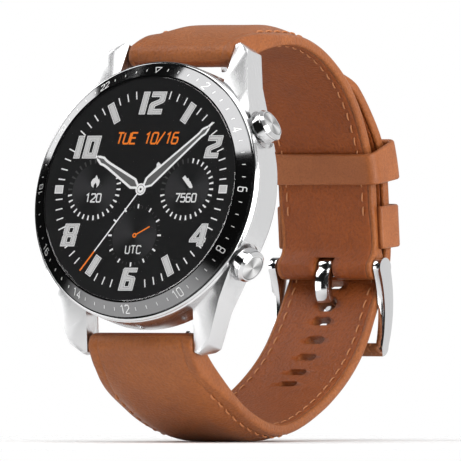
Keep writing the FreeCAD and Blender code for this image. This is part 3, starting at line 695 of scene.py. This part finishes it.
def thread_mesh(paths, radius):
    """Stitches along paths of (point, normal): short flattened strands whose ends dip into the leather."""
    points, faces = [], []
    for path in paths:
        travelled = [0.0]
        for (a, _), (b, _) in zip(path, path[1:]):
            travelled.append(travelled[-1] + (b - a).length)

        def spot(distance):
            k = int(np.searchsorted(travelled, distance)) - 1
            k = min(max(k, 0), len(path) - 2)
            f = (distance - travelled[k]) / max(1e-9, travelled[k + 1] - travelled[k])
            return path[k][0].lerp(path[k + 1][0], f), path[k][1].lerp(path[k + 1][1], f).normalized()

        for n in range(int(travelled[-1] / STITCH_PITCH)):
            begin = n * STITCH_PITCH + 0.4 * MM
            sections = []
            for k in range(7):
                f = k / 6
                place, normal = spot(begin + f * STITCH_LENGTH)
                ahead, _ = spot(begin + f * STITCH_LENGTH + 0.1 * MM)
                tangent = (ahead - place).normalized()
                across = tangent.cross(normal).normalized()
                lift = radius * (1.0 - 2.15 * (2 * f - 1) ** 4)
                centre = place + normal * lift + across * (0.16 * MM * (f - 0.5))
                r = radius * (1.0 - 0.25 * (2 * f - 1) ** 4)
                sections.append([centre + across * r * 1.15 * math.cos(a) + normal * r * 0.8 * math.sin(a)
                                 for a in (j * math.pi / 4 for j in range(8))])
            p, f = loft(sections)
            faces += [tuple(len(points) + i for i in face) for face in f]
            points += p
    return points, faces


def seam_paths(stations, face):
    """Both stitch lines of a strap face, right and left, as (point, normal) along it."""
    paths = []
    for side in (1, -1):
        path = []
        for s in stations:
            across = side * (s.half - SEAM_INSET)
            if face == "outer":
                path.append((s.outside(across), s.out))
            else:
                path.append((s.point(across, -LINING_PROUD), -s.out))
        paths.append(path)
    return paths


def slot_cutter(centre, out, along, half_width):
    """Closed rounded slot through a strap, long across it."""
    outline = []
    push = SLOT_HALF_LENGTH - half_width
    for k in range(24):
        a = k * 2 * math.pi / 24
        side = push if math.cos(a) > 0 else -push
        outline.append((math.cos(a) * half_width + side, math.sin(a) * half_width))
    return loft([[centre + Vector((x, 0, 0)) + along * y + out * h for x, y in outline]
                 for h in (-SLOT_DEPTH, SLOT_DEPTH)])


def cut(pieces, points, faces):
    """Takes a closed shape away from some pieces."""
    cutter = shell("cutter", points, faces)
    for piece in pieces:
        boolean = piece.modifiers.new("cut", "BOOLEAN")
        boolean.object = cutter
        boolean.solver = "EXACT"
        applied(piece)
    bpy.data.objects.remove(cutter)


def hole_angles(side):
    """Middle angle and span of each hole in a strap, where rays in its middle meet nothing."""
    tree = surface(f"{side}_strap_leather", f"{side}_strap_lining")
    origin = Vector((0, LOOP.y, LOOP.z))
    holes, run = [], []
    for angle in np.linspace(math.radians(-75), math.radians(-5), 1400):
        if not ray_hits(tree, origin, around(angle)):
            run.append(angle)
        elif run:
            holes.append(((run[0] + run[-1]) / 2, run[-1] - run[0]))
            run = []
    return holes


def lever_notch(side):
    """Closed slot, open to the wrist side, around the way that a spring bar's lever is pulled."""
    bar = Vector(JOINTS[f"{side}_bar_release"]["pos_m"])
    lever = [v.co - bar for v in NODES[f"{side}_bar_sprung_tip"].data.vertices
             if math.hypot(v.co.y - bar.y, v.co.z - bar.z) > BAR_CLEAR]
    inward = Vector((0, sum(v.y for v in lever), sum(v.z for v in lever))).normalized()
    aside = Vector((0, -inward.z, inward.y))
    left = min(v.x for v in lever) - LEVER_TRAVEL - LEVER_ROOM
    right = max(v.x for v in lever) + LEVER_ROOM
    half = max(abs(v.dot(aside)) for v in lever) + LEVER_ROOM
    outline = [(left, -half), (right, -half), (right, half), (left, half)]
    return loft([[bar + inward * depth + aside * y + Vector((x, 0, 0)) for x, y in outline]
                 for depth in NOTCH_DEPTHS])


def make_strap(side, shape, materials, seam_stations):
    stations = shape.whole()
    skin = mesh_piece(f"{side}_strap_outer_leather", *loft([leather_section(s) for s in stations]), "case",
                      "leather_outer", materials["leather_outer"])
    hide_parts(f"{side}_strap_leather", f"{side}_strap_core")
    lining = mesh_piece(f"{side}_strap_lining_leather", *loft([lining_section(s) for s in stations]), "case",
                        "leather_lining", materials["leather_lining"])
    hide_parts(f"{side}_strap_lining")
    cut((skin, lining), *lever_notch(side))
    for face, run, radius in zip(("outer", "lining"), seam_stations, (0.21 * MM, 0.14 * MM)):
        thread = thread_mesh(seam_paths(shape.stations[slice(*run)], face), radius)
        mesh_piece(f"{side}_strap_{face}_stitches", *thread, "case", "leather_outer",
                   materials[f"thread_{face}"])
    return skin, lining


def make_straps(materials):
    bars = {side: Vector(JOINTS[f"{side}_bar_release"]["pos_m"]) for side in ("upper", "lower")}
    upper = StrapShape("upper", bars["upper"], angle_of(BUCKLE_BAR), BUCKLE_BAR)
    leathers = make_strap("upper", upper, materials, ((15, -20), (15, -12)))
    xs, ys, zs = zip(*(BUCKLE_BAR + Vector(corner) * MM for corner in TANG_NOTCH))
    outline = [(xs[0], ys[0]), (xs[1], ys[0]), (xs[1], ys[1]), (xs[0], ys[1])]
    cut(leathers, *loft([[Vector((x, y, z)) for x, y in outline] for z in zs]))
    lower = StrapShape("lower", bars["lower"], math.radians(55.6))
    leathers = make_strap("lower", lower, materials, ((14, -10), (14, -10)))
    holes = hole_angles("lower")
    widest = max(span for _, span in holes)
    for angle, span in holes:
        k = int(np.argmin(np.abs(np.array(lower.angles) - angle)))
        s = lower.stations[k]
        along = (lower.stations[k + 1].low - lower.stations[k - 1].low).normalized()
        out = Vector((0, along.z, -along.y))
        half_width = WORN_SLOT_HALF_WIDTH if span == widest else SLOT_HALF_WIDTH
        cut(leathers, *slot_cutter((s.low + s.high) / 2, out, along, half_width))


# ---------------------------------------------------------------- keepers


def rounded_path(half, low, high, corner, closed=True, steps=6):
    """Path around the strap in (across, out), with round corners; open, it starts and ends on the inside."""
    path = []
    corners = [(half, high, 0), (-half, high, 90), (-half, low, 180), (half, low, 270)]
    for x, y, start in corners if closed else corners[:2]:
        cx, cy = x - math.copysign(corner, x), y - (corner if y == high else -corner)
        for k in range(steps + 1):
            a = math.radians(start + 90 * k / steps)
            path.append((cx + corner * math.cos(a), cy + corner * math.sin(a)))
    if not closed:
        path = [(half, low), (half, (low + high) / 2)] + path + [(-half, (low + high) / 2), (-half, low)]
    return path


def densified(path, closed, step):
    out = []
    pairs = list(zip(path, path[1:] + path[:1])) if closed else list(zip(path, path[1:]))
    for a, b in pairs:
        n = max(1, int(math.hypot(b[0] - a[0], b[1] - a[1]) / step))
        out += [(a[0] + (b[0] - a[0]) * k / n, a[1] + (b[1] - a[1]) * k / n) for k in range(n)]
    return out if closed else out + [path[-1]]


def band_profile(width, thick):
    """Cross-section of a keeper's leather: (along the strap, out of the leather's middle), a soft pillow."""
    profile = []
    r = thick * 0.42
    for corner, start in (((1, 1), 0), ((-1, 1), 90), ((-1, -1), 180), ((1, -1), 270)):
        for k in range(5):
            a = math.radians(start + 90 * k / 4)
            profile.append((corner[0] * (width / 2 - r) + r * math.cos(a),
                            corner[1] * (thick / 2 - r) + r * math.sin(a)))
        if start in (0, 180):
            inner = [0.75, 0.5, 0.25, 0, -0.25, -0.5, -0.75]
            for f in inner if start == 0 else inner[::-1]:
                profile.append((f * (width / 2 - r), corner[1] * thick / 2))
    return profile


def leather_band(path, closed, width, thick, place):
    """Sweeps a keeper's cross-section along its path; place turns (across, out, along) into a point."""
    path = densified(path, closed, 0.7 * MM)
    profile = band_profile(width, thick)
    sections = []
    n = len(path)
    for i, (x, y) in enumerate(path):
        a = path[(i - 1) % n] if closed or i > 0 else path[0]
        b = path[(i + 1) % n] if closed or i < n - 1 else path[-1]
        tx, ty = b[0] - a[0], b[1] - a[1]
        size = math.hypot(tx, ty)
        nx, ny = ty / size, -tx / size
        sections.append([place(x + nx * h, y + ny * h, s) for s, h in profile])
    return loft(sections, closed_length=closed)


def make_keepers(materials):
    tree = surface("free_keeper")
    mesh = NODES["free_keeper"].data
    angles = [angle_of(v.co) for v in mesh.vertices]
    middle = (min(angles) + max(angles)) / 2
    hits = ray_hits(tree, Vector((0, LOOP.y, LOOP.z)), around(middle))
    inside, outside, thick = hits[0], hits[-1], hits[1] - hits[0]
    low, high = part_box("free_keeper")
    half = (high.x - low.x) / 2
    width = (max(angles) - min(angles)) * outside
    path = rounded_path(half - thick / 2, inside + thick / 2, outside - thick / 2, 1.25 * MM)

    def on_loop(x, r, s):
        angle = middle + s / outside
        return Vector((x, LOOP.y, LOOP.z)) + around(angle) * r

    band = mesh_piece("free_keeper_leather", *leather_band(path, True, width, thick, on_loop), "free_keeper",
                      "leather_outer", materials["leather_keeper"])
    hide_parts("free_keeper")

    low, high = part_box("fixed_keeper")
    mesh = NODES["fixed_keeper"].data
    backs = [p for p in mesh.polygons if p.normal.y > 0.9]
    out = max(backs, key=lambda p: p.area).normal.copy()
    out.x = 0
    out.normalize()
    along = Vector((0, -out.z, out.y))
    centre = Vector((0, (low.y + high.y) / 2, (low.z + high.z) / 2))
    spans = [(v.co - centre).dot(along) for v in mesh.vertices]
    reach = [(v.co - centre).dot(out) for v in mesh.vertices]
    half = (high.x - low.x) / 2
    path = rounded_path(half - thick / 2, min(reach), max(reach) - thick / 2, 1.2 * MM, closed=False)

    def on_bridge(x, y, s):
        return Vector((x, centre.y, centre.z)) + out * y + along * s

    width = max(spans) - min(spans)
    band = mesh_piece("fixed_keeper_leather", *leather_band(path, False, width, thick, on_bridge), "case",
                      "leather_outer", materials["leather_keeper"])
    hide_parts("fixed_keeper")


# ---------------------------------------------------------------- what the display shows
# Figures are lists of loops in millimetres, right and up from the centre: an outline, then its holes.

GLASS_UNDERSIDE = heights_on_case("cover_glass")[0]
PANEL_TOP = heights_on_case("display_panel")[1]


def level(share):
    """Height of a picture layer in the clear bond between panel and glass, from 0 at the panel to 1."""
    return PANEL_TOP + (GLASS_UNDERSIDE - PANEL_TOP) * (0.08 + 0.8 * share)


def clock(radius, degrees):
    """Point at a radius and an angle clockwise from 12."""
    a = math.radians(degrees)
    return radius * math.sin(a), radius * math.cos(a)


def filled(figures, lift):
    """Points and faces of flat figures; lift turns a figure's (x, y) into a point."""
    points, faces = [], []
    for loops in figures:
        rings = [[Vector((x, y, 0)) for x, y in loop] for loop in loops]
        faces += [tuple(len(points) + i for i in corner) for corner in tessellate_polygon(rings)]
        points += [lift(x, y) for loop in loops for x, y in loop]
    return points, faces


def picture(name, figures, share, material):
    """Flat figures in one colour on the display; share sets which layer lies over which."""
    shape = filled(figures, lambda x, y: on_case(x, y, level(share)))
    return mesh_piece(name, *shape, "case", "display", material, smooth=False)


def area(loop):
    return sum(a[0] * b[1] - b[0] * a[1] for a, b in zip(loop, loop[1:] + loop[:1])) / 2


def grown(loop, distance):
    """A loop moved outwards all round, or inwards for a negative distance, with mitred corners."""
    side = 1 if area(loop) > 0 else -1
    moved = []
    for a, b, c in zip(loop[-1:] + loop[:-1], loop, loop[1:] + loop[:1]):
        u = Vector((b[0] - a[0], b[1] - a[1])).normalized()
        v = Vector((c[0] - b[0], c[1] - b[1])).normalized()
        n = Vector((u.y + v.y, -u.x - v.x)).normalized() * side
        reach = max(0.45, n.dot(Vector((u.y, -u.x)) * side))
        moved.append((b[0] + n.x * distance / reach, b[1] + n.y * distance / reach))
    return moved


def shrunk(loops, distance):
    return [grown(loops[0], -distance)] + [grown(hole, distance) for hole in loops[1:]]


def ribbon(points, width, closed=False):
    """A stroke of even width along a line."""
    if closed:
        return [grown(points, width / 2), grown(points, -width / 2)]
    left, right = [], []
    for i, b in enumerate(points):
        a, c = points[max(0, i - 1)], points[min(len(points) - 1, i + 1)]
        u = Vector((b[0] - a[0], b[1] - a[1])) if i else Vector((c[0] - b[0], c[1] - b[1]))
        v = Vector((c[0] - b[0], c[1] - b[1])) if i < len(points) - 1 else u
        u, v = u.normalized(), v.normalized()
        n = Vector((u.y + v.y, -u.x - v.x)).normalized()
        reach = max(0.5, n.dot(Vector((u.y, -u.x))))
        left.append((b[0] + n.x * width / 2 / reach, b[1] + n.y * width / 2 / reach))
        right.append((b[0] - n.x * width / 2 / reach, b[1] - n.y * width / 2 / reach))
    return [left + right[::-1]]


def placed(loops, centre=(0, 0), degrees=0.0, slant=0.0):
    """Figures slanted, turned clockwise and moved."""
    cos, sin = math.cos(math.radians(degrees)), math.sin(math.radians(degrees))
    out = []
    for loop in loops:
        leaned = [(x + y * slant, y) for x, y in loop]
        out.append([(centre[0] + x * cos + y * sin, centre[1] - x * sin + y * cos) for x, y in leaned])
    return out


STROKES = {
    "0": [[(0.1, 0), (0.5, 0), (0.6, 0.12), (0.6, 0.88), (0.5, 1), (0.1, 1), (0, 0.88), (0, 0.12), (0.1, 0)]],
    "1": [[(0.1, 0.82), (0.34, 1), (0.34, 0)]],
    "2": [[(0, 0.84), (0.1, 1), (0.5, 1), (0.6, 0.88), (0.6, 0.62), (0, 0.1), (0, 0), (0.62, 0)]],
    "3": [[(0, 0.9), (0.1, 1), (0.5, 1), (0.6, 0.88), (0.6, 0.62), (0.48, 0.52), (0.2, 0.52)],
          [(0.48, 0.52), (0.6, 0.42), (0.6, 0.12), (0.5, 0), (0.1, 0), (0, 0.1)]],
    "4": [[(0.46, 0), (0.46, 1), (0, 0.28), (0.64, 0.28)]],
    "5": [[(0.58, 1), (0.04, 1), (0.02, 0.56), (0.46, 0.6), (0.6, 0.46), (0.6, 0.12), (0.5, 0), (0.1, 0),
           (0, 0.1)]],
    "6": [[(0.54, 1), (0.1, 1), (0, 0.88), (0, 0.12), (0.1, 0), (0.5, 0), (0.6, 0.12), (0.6, 0.44),
           (0.5, 0.56), (0, 0.56)]],
    "7": [[(0, 1), (0.6, 1), (0.22, 0)]],
    "8": [[(0.1, 0), (0.5, 0), (0.6, 0.12), (0.6, 0.42), (0.5, 0.53), (0.6, 0.64), (0.6, 0.88), (0.5, 1),
           (0.1, 1), (0, 0.88), (0, 0.64), (0.1, 0.53), (0, 0.42), (0, 0.12), (0.1, 0)],
          [(0.1, 0.53), (0.5, 0.53)]],
    "9": [[(0.06, 0), (0.5, 0), (0.6, 0.12), (0.6, 0.88), (0.5, 1), (0.1, 1), (0, 0.88), (0, 0.56),
           (0.1, 0.44), (0.6, 0.44)]],
    "/": [[(-0.04, -0.08), (0.5, 1.08)]],
    " ": [],
    "T": [[(0, 1), (0.6, 1)], [(0.3, 1), (0.3, 0)]],
    "U": [[(0, 1), (0, 0.12), (0.1, 0), (0.5, 0), (0.6, 0.12), (0.6, 1)]],
    "E": [[(0.58, 1), (0, 1), (0, 0), (0.58, 0)], [(0, 0.53), (0.5, 0.53)]],
    "C": [[(0.6, 0.82), (0.6, 0.88), (0.5, 1), (0.1, 1), (0, 0.88), (0, 0.12), (0.1, 0), (0.5, 0),
           (0.6, 0.12), (0.6, 0.18)]],
}


def strokes_of(points, width):
    """One four-sided figure for each stretch of a line, mitred where two meet."""
    closed = points[0] == points[-1]
    run = [points[-2]] + points + [points[1]] if closed else points
    outline = ribbon(run, width)[0]
    left, right = outline[:len(run)], outline[len(run):][::-1]
    quads = [[left[i], left[i + 1], right[i + 1], right[i]] for i in range(len(run) - 1)]
    return quads[1:-1] if closed else quads


def written(text, height, centre, stroke, slant=0.0, advance=0.86, degrees=0.0):
    """Text in strokes, centred on a point; advance is the step from glyph to glyph, in heights."""
    total = advance * (len(text) - 1) + 0.6
    figures = []
    for n, letter in enumerate(text):
        for line in STROKES[letter]:
            points = [((n * advance - total / 2 + x) * height, (y - 0.5) * height) for x, y in line]
            figures += [placed([quad], centre, degrees, slant) for quad in strokes_of(points, stroke)]
    return figures


BLOCKS = {
    "0": ([(0, 0), (3, 0), (3, 4), (0, 4)], [(1.2, 1.0), (1.8, 1.0), (1.8, 3.0), (1.2, 3.0)]),
    "1": ([(0, 0), (1.3, 0), (1.3, 4), (0, 4)],),
    "2": ([(0, 4), (3, 4), (3, 2.35), (2.75, 2.02), (1.2, 1.4), (1.2, 0.95), (2.9, 0.95), (2.9, 0), (0, 0),
           (0, 1.75), (0.3, 2.1), (1.75, 2.65), (1.75, 3.05), (0, 3.05)],),
    "4": ([(1.75, 4), (3.1, 4), (3.1, 1.5), (3.35, 1.5), (3.35, 0.7), (3.1, 0.7), (3.1, 0), (1.75, 0),
           (1.75, 0.7), (0, 0.7), (0, 1.3)], [(1.15, 1.55), (1.85, 1.55), (1.85, 2.7)]),
    "6": ([(0.2, 4), (2.95, 4), (2.95, 3.2), (1.25, 3.2), (1.25, 2.75), (2.7, 2.45), (3, 2.1), (3, 0), (0, 0),
           (0, 3.7)], [(1.15, 0.75), (1.9, 0.75), (1.9, 1.65), (1.15, 1.65)]),
    "8": ([(0, 4), (3, 4), (3, 2.2), (2.8, 2.0), (3, 1.8), (3, 0), (0, 0), (0, 1.8), (0.2, 2.0), (0, 2.2)],
          [(1.15, 2.45), (1.85, 2.45), (1.85, 3.25), (1.15, 3.25)],
          [(1.15, 0.75), (1.85, 0.75), (1.85, 1.6), (1.15, 1.6)]),
}
BLOCK_WIDTHS = {"1": 1.3}
NUMERAL_SLANT = 0.155


def numeral(text, centre):
    """Block digits side by side, each a list of loops."""
    widths = [BLOCK_WIDTHS.get(c, 3.0) for c in text]
    x = -(sum(widths) + 0.5 * (len(text) - 1)) / 2
    figures = []
    for letter, width in zip(text, widths):
        loops = [[(px + x, py - 2.0) for px, py in loop] for loop in BLOCKS[letter]]
        figures.append(placed(loops, centre, slant=NUMERAL_SLANT))
        x += width + 0.5
    return figures


def disc_loop(centre, radius, steps=48):
    angles = [2 * math.pi * k / steps for k in range(steps)]
    return [(centre[0] + radius * math.cos(a), centre[1] + radius * math.sin(a)) for a in angles]


def ring_loops(centre, outer, inner, steps=48):
    return [disc_loop(centre, outer, steps), disc_loop(centre, inner, steps)]


def tick(inner, outer, width, degrees, centre=(0, 0)):
    """Radial bar; width may be a pair, inside and outside."""
    w0, w1 = width if isinstance(width, tuple) else (width, width)
    return placed([[(-w0 / 2, inner), (w0 / 2, inner), (w1 / 2, outer), (-w1 / 2, outer)]], centre, degrees)


def hand_outline(length, head, head_half, waist, waist_half):
    """Leaf hand that points up: narrow at the hub, widest near it, a waist, then the head."""
    right = [(0.28, 0.6), (1.04, 2.0), (waist_half, waist), (head_half * 0.8, (waist + head) / 2),
             (head_half, head), (head_half * 0.62, (head + length) / 2 + 0.1), (0.04, length)]
    return right + [(-x, y) for x, y in reversed(right)]


def make_dial(materials):
    def show(name, figures, share, colour):
        picture(name, figures, share, materials[f"dial_{colour}"])

    middle, left, right, bottom = (0, 0), (-9.7, 0), (9.6, 0), (0, -8.1)
    show("dial_face", [[disc_loop(middle, 18.45, 96)]], 0.0, "face")
    border = ring_loops(middle, radii_on_case("cover_glass")[1] - 0.08, 18.4, 96)
    show("glass_border_print", [border], 1.08, "face")

    numerals = []
    for text, centre in (("12", (0.1, 15.2)), ("2", (13.98, 7.46)), ("4", (13.2, -8.03)),
                         ("6", (-0.1, -15.8)), ("8", (-13.5, -8.03)), ("10", (-12.34, 7.46))):
        numerals += numeral(text, centre)
    numerals += [tick(13.6, 17.4, 1.4, hour * 30) for hour in (1, 5, 7, 11)]
    show("numeral_edges", numerals, 0.3, "edge")
    show("numeral_insets", [shrunk(loops, 0.17) for loops in numerals], 0.4, "inset")
    show("numeral_fills", [shrunk(loops, 0.24) for loops in numerals], 0.5, "fill")
    square = [(-0.85, -0.72), (0.85, -0.72), (0.85, 0.72), (-0.85, 0.72)]
    squares = [placed([square], (x, 0)) for x in (-17.1, 17.1)]
    show("side_squares", squares, 0.3, "white")
    show("square_fills", [shrunk(loops, 0.14) for loops in squares], 0.5, "fill")
    minutes = [m for m in range(60) if m % 5 and m not in (1, 59, 29, 31)]
    show("minute_ticks", [tick(16.2, 17.6, 0.22, m * 6) for m in minutes], 0.2, "white")
    show("date", written("TUE 10/16", 1.9, (0.0, 9.0), 0.30, slant=0.2, advance=0.76), 0.3, "orange")

    for name, centre, sheen in (("left", left, 55), ("right", right, 50), ("bottom", bottom, 60)):
        material = sunray_painted_sheen(f"{name}_subdial_sheen", on_case(*centre, 0), CASE_MATRIX, sectors=2, phase=sheen,
                          low=(0.010, 0.010, 0.0105), high=(0.040, 0.040, 0.042), glows=True)
        picture(f"{name}_subdial", [[disc_loop(centre, 4.55)]], 0.12, material)
    bright, faint = [], []
    for centre in (left, right):
        for a in range(0, 360, 12):
            lit_side = a < 1 or a > 358 or 2 < a < 262
            (bright if lit_side else faint).append(tick(4.62, 5.46, (0.24, 0.34), a + 6, centre))
    for a in range(0, 360, 30):
        bright.append(tick(4.75, 5.5, 0.30, a, bottom))
        faint += [tick(4.8, 5.3, 0.12, a + k, bottom) for k in (10, 20)]
    show("subdial_ticks", bright, 0.3, "white")
    show("subdial_faint_ticks", faint, 0.3, "dim")
    show("left_count", written("120", 1.42, (-9.7, -1.5), 0.24, slant=0.03, advance=0.80), 0.3, "edge")
    show("right_count", written("7560", 1.42, (9.6, -1.5), 0.24, slant=0.03, advance=0.80), 0.3, "edge")
    show("bottom_word", written("UTC", 1.35, (0.1, -10.6), 0.2, advance=0.86), 0.3, "edge")
    flame = [(0.05, 1.2), (0.35, 0.75), (0.5, 0.35), (0.72, 0.55), (0.9, 0.0), (0.8, -0.6), (0.35, -1.1),
             (0.4, -0.65), (0.1, -0.15), (-0.25, -0.6), (-0.25, -1.1), (-0.75, -0.7), (-0.9, -0.1),
             (-0.6, 0.45), (-0.15, 0.7)]
    shoe = [(-0.75, 1.1), (-0.25, 0.55), (0.1, 0.62), (0.05, 0.38), (0.3, 0.32), (0.25, 0.1), (0.5, 0.05),
            (0.9, -0.55), (1.15, -0.95), (0.95, -1.2), (0.5, -1.1), (-0.3, -0.35), (-1.25, 0.62)]
    show("flame", [placed([flame], (-9.7, 1.35))], 0.3, "edge")
    show("shoe", [placed([shoe], (9.6, 1.35))], 0.3, "edge")

    small = placed([[(-0.11, 0.3), (0.11, 0.3), (0.11, 3.3), (-0.11, 3.3)]], bottom, 62)
    show("small_hand", [small, ring_loops(bottom, 0.42, 0.2)], 0.45, "orange")
    tail = [(0.2, 0.8), (0.62, 2.0), (0.12, 4.7), (0.46, 5.1), (0.46, 5.6)]
    tail += [(-x, y) for x, y in reversed(tail)]
    show("second_tail", [placed([tail], degrees=36)], 0.55, "edge")
    hour = hand_outline(11.85, 10.15, 0.82, 8.5, 0.65)
    minute = hand_outline(17.0, 15.4, 0.72, 13.5, 0.60)
    for name, outline, degrees, rim in (("hour", hour, -60.3, 0.42), ("minute", minute, 48.8, 0.36)):
        show(f"{name}_hand", [placed([outline], degrees=degrees)], 0.62, "white")
        show(f"{name}_hand_fill", [placed(shrunk([outline], rim), degrees=degrees)], 0.7, "inset")
    show("minute_hand_tip", [tick(16.8, 17.85, 0.2, 48.8)], 0.62, "white")
    show("second_hand", [tick(0.5, 13.5, 0.24, 216)], 0.8, "white")
    show("second_hand_end", [tick(13.5, 17.7, 0.28, 216)], 0.8, "orange")
    show("hub", [ring_loops(middle, 1.05, 0.76), ring_loops(middle, 0.68, 0.22)], 0.9, "white")
    show("hub_line", [ring_loops(middle, 0.78, 0.66)], 0.85, "dim")
    show("hub_centre", [[disc_loop(middle, 0.24)]], 0.85, "face")


# ---------------------------------------------------------------- hour ring marks


def make_ring_marks(materials):
    """Thin marks on the sloping hour ring: a triangle, then every second number of a day, four ticks between.
    The numbers in the lower half stand the other way up."""
    tree = surface("bezel_ring")

    def on_ring(x, y):
        return tree.ray_cast(on_case(x, y, 14), -OUT)[0] + OUT * 0.012 * MM

    triangle = [(-0.62, 0.5), (0.62, 0.5), (0, -0.55)]
    figures = [placed([grown(triangle, 0.07), grown(triangle, -0.07)], clock(21.1, 0))]
    for hour in range(1, 12):
        upright = hour * 30 + (180 if 4 <= hour <= 8 else 0)
        figures += written(str(hour * 2), 1.25, clock(21.05, hour * 30), 0.15, advance=0.80, degrees=upright)
    figures += [tick(20.85, 21.35, 0.13, minute * 6) for minute in range(60) if minute % 5]
    mesh_piece("hour_ring_marks", *filled(figures, on_ring), "case", "steel_brushed", materials["ring_marks"],
               smooth=False)


# ---------------------------------------------------------------- the watch

make_camera()
make_light()
make_floor()
MATERIALS = make_materials()
dress_frame(MATERIALS)
make_straps(MATERIALS)
make_keepers(MATERIALS)
make_dial(MATERIALS)
make_ring_marks(MATERIALS)
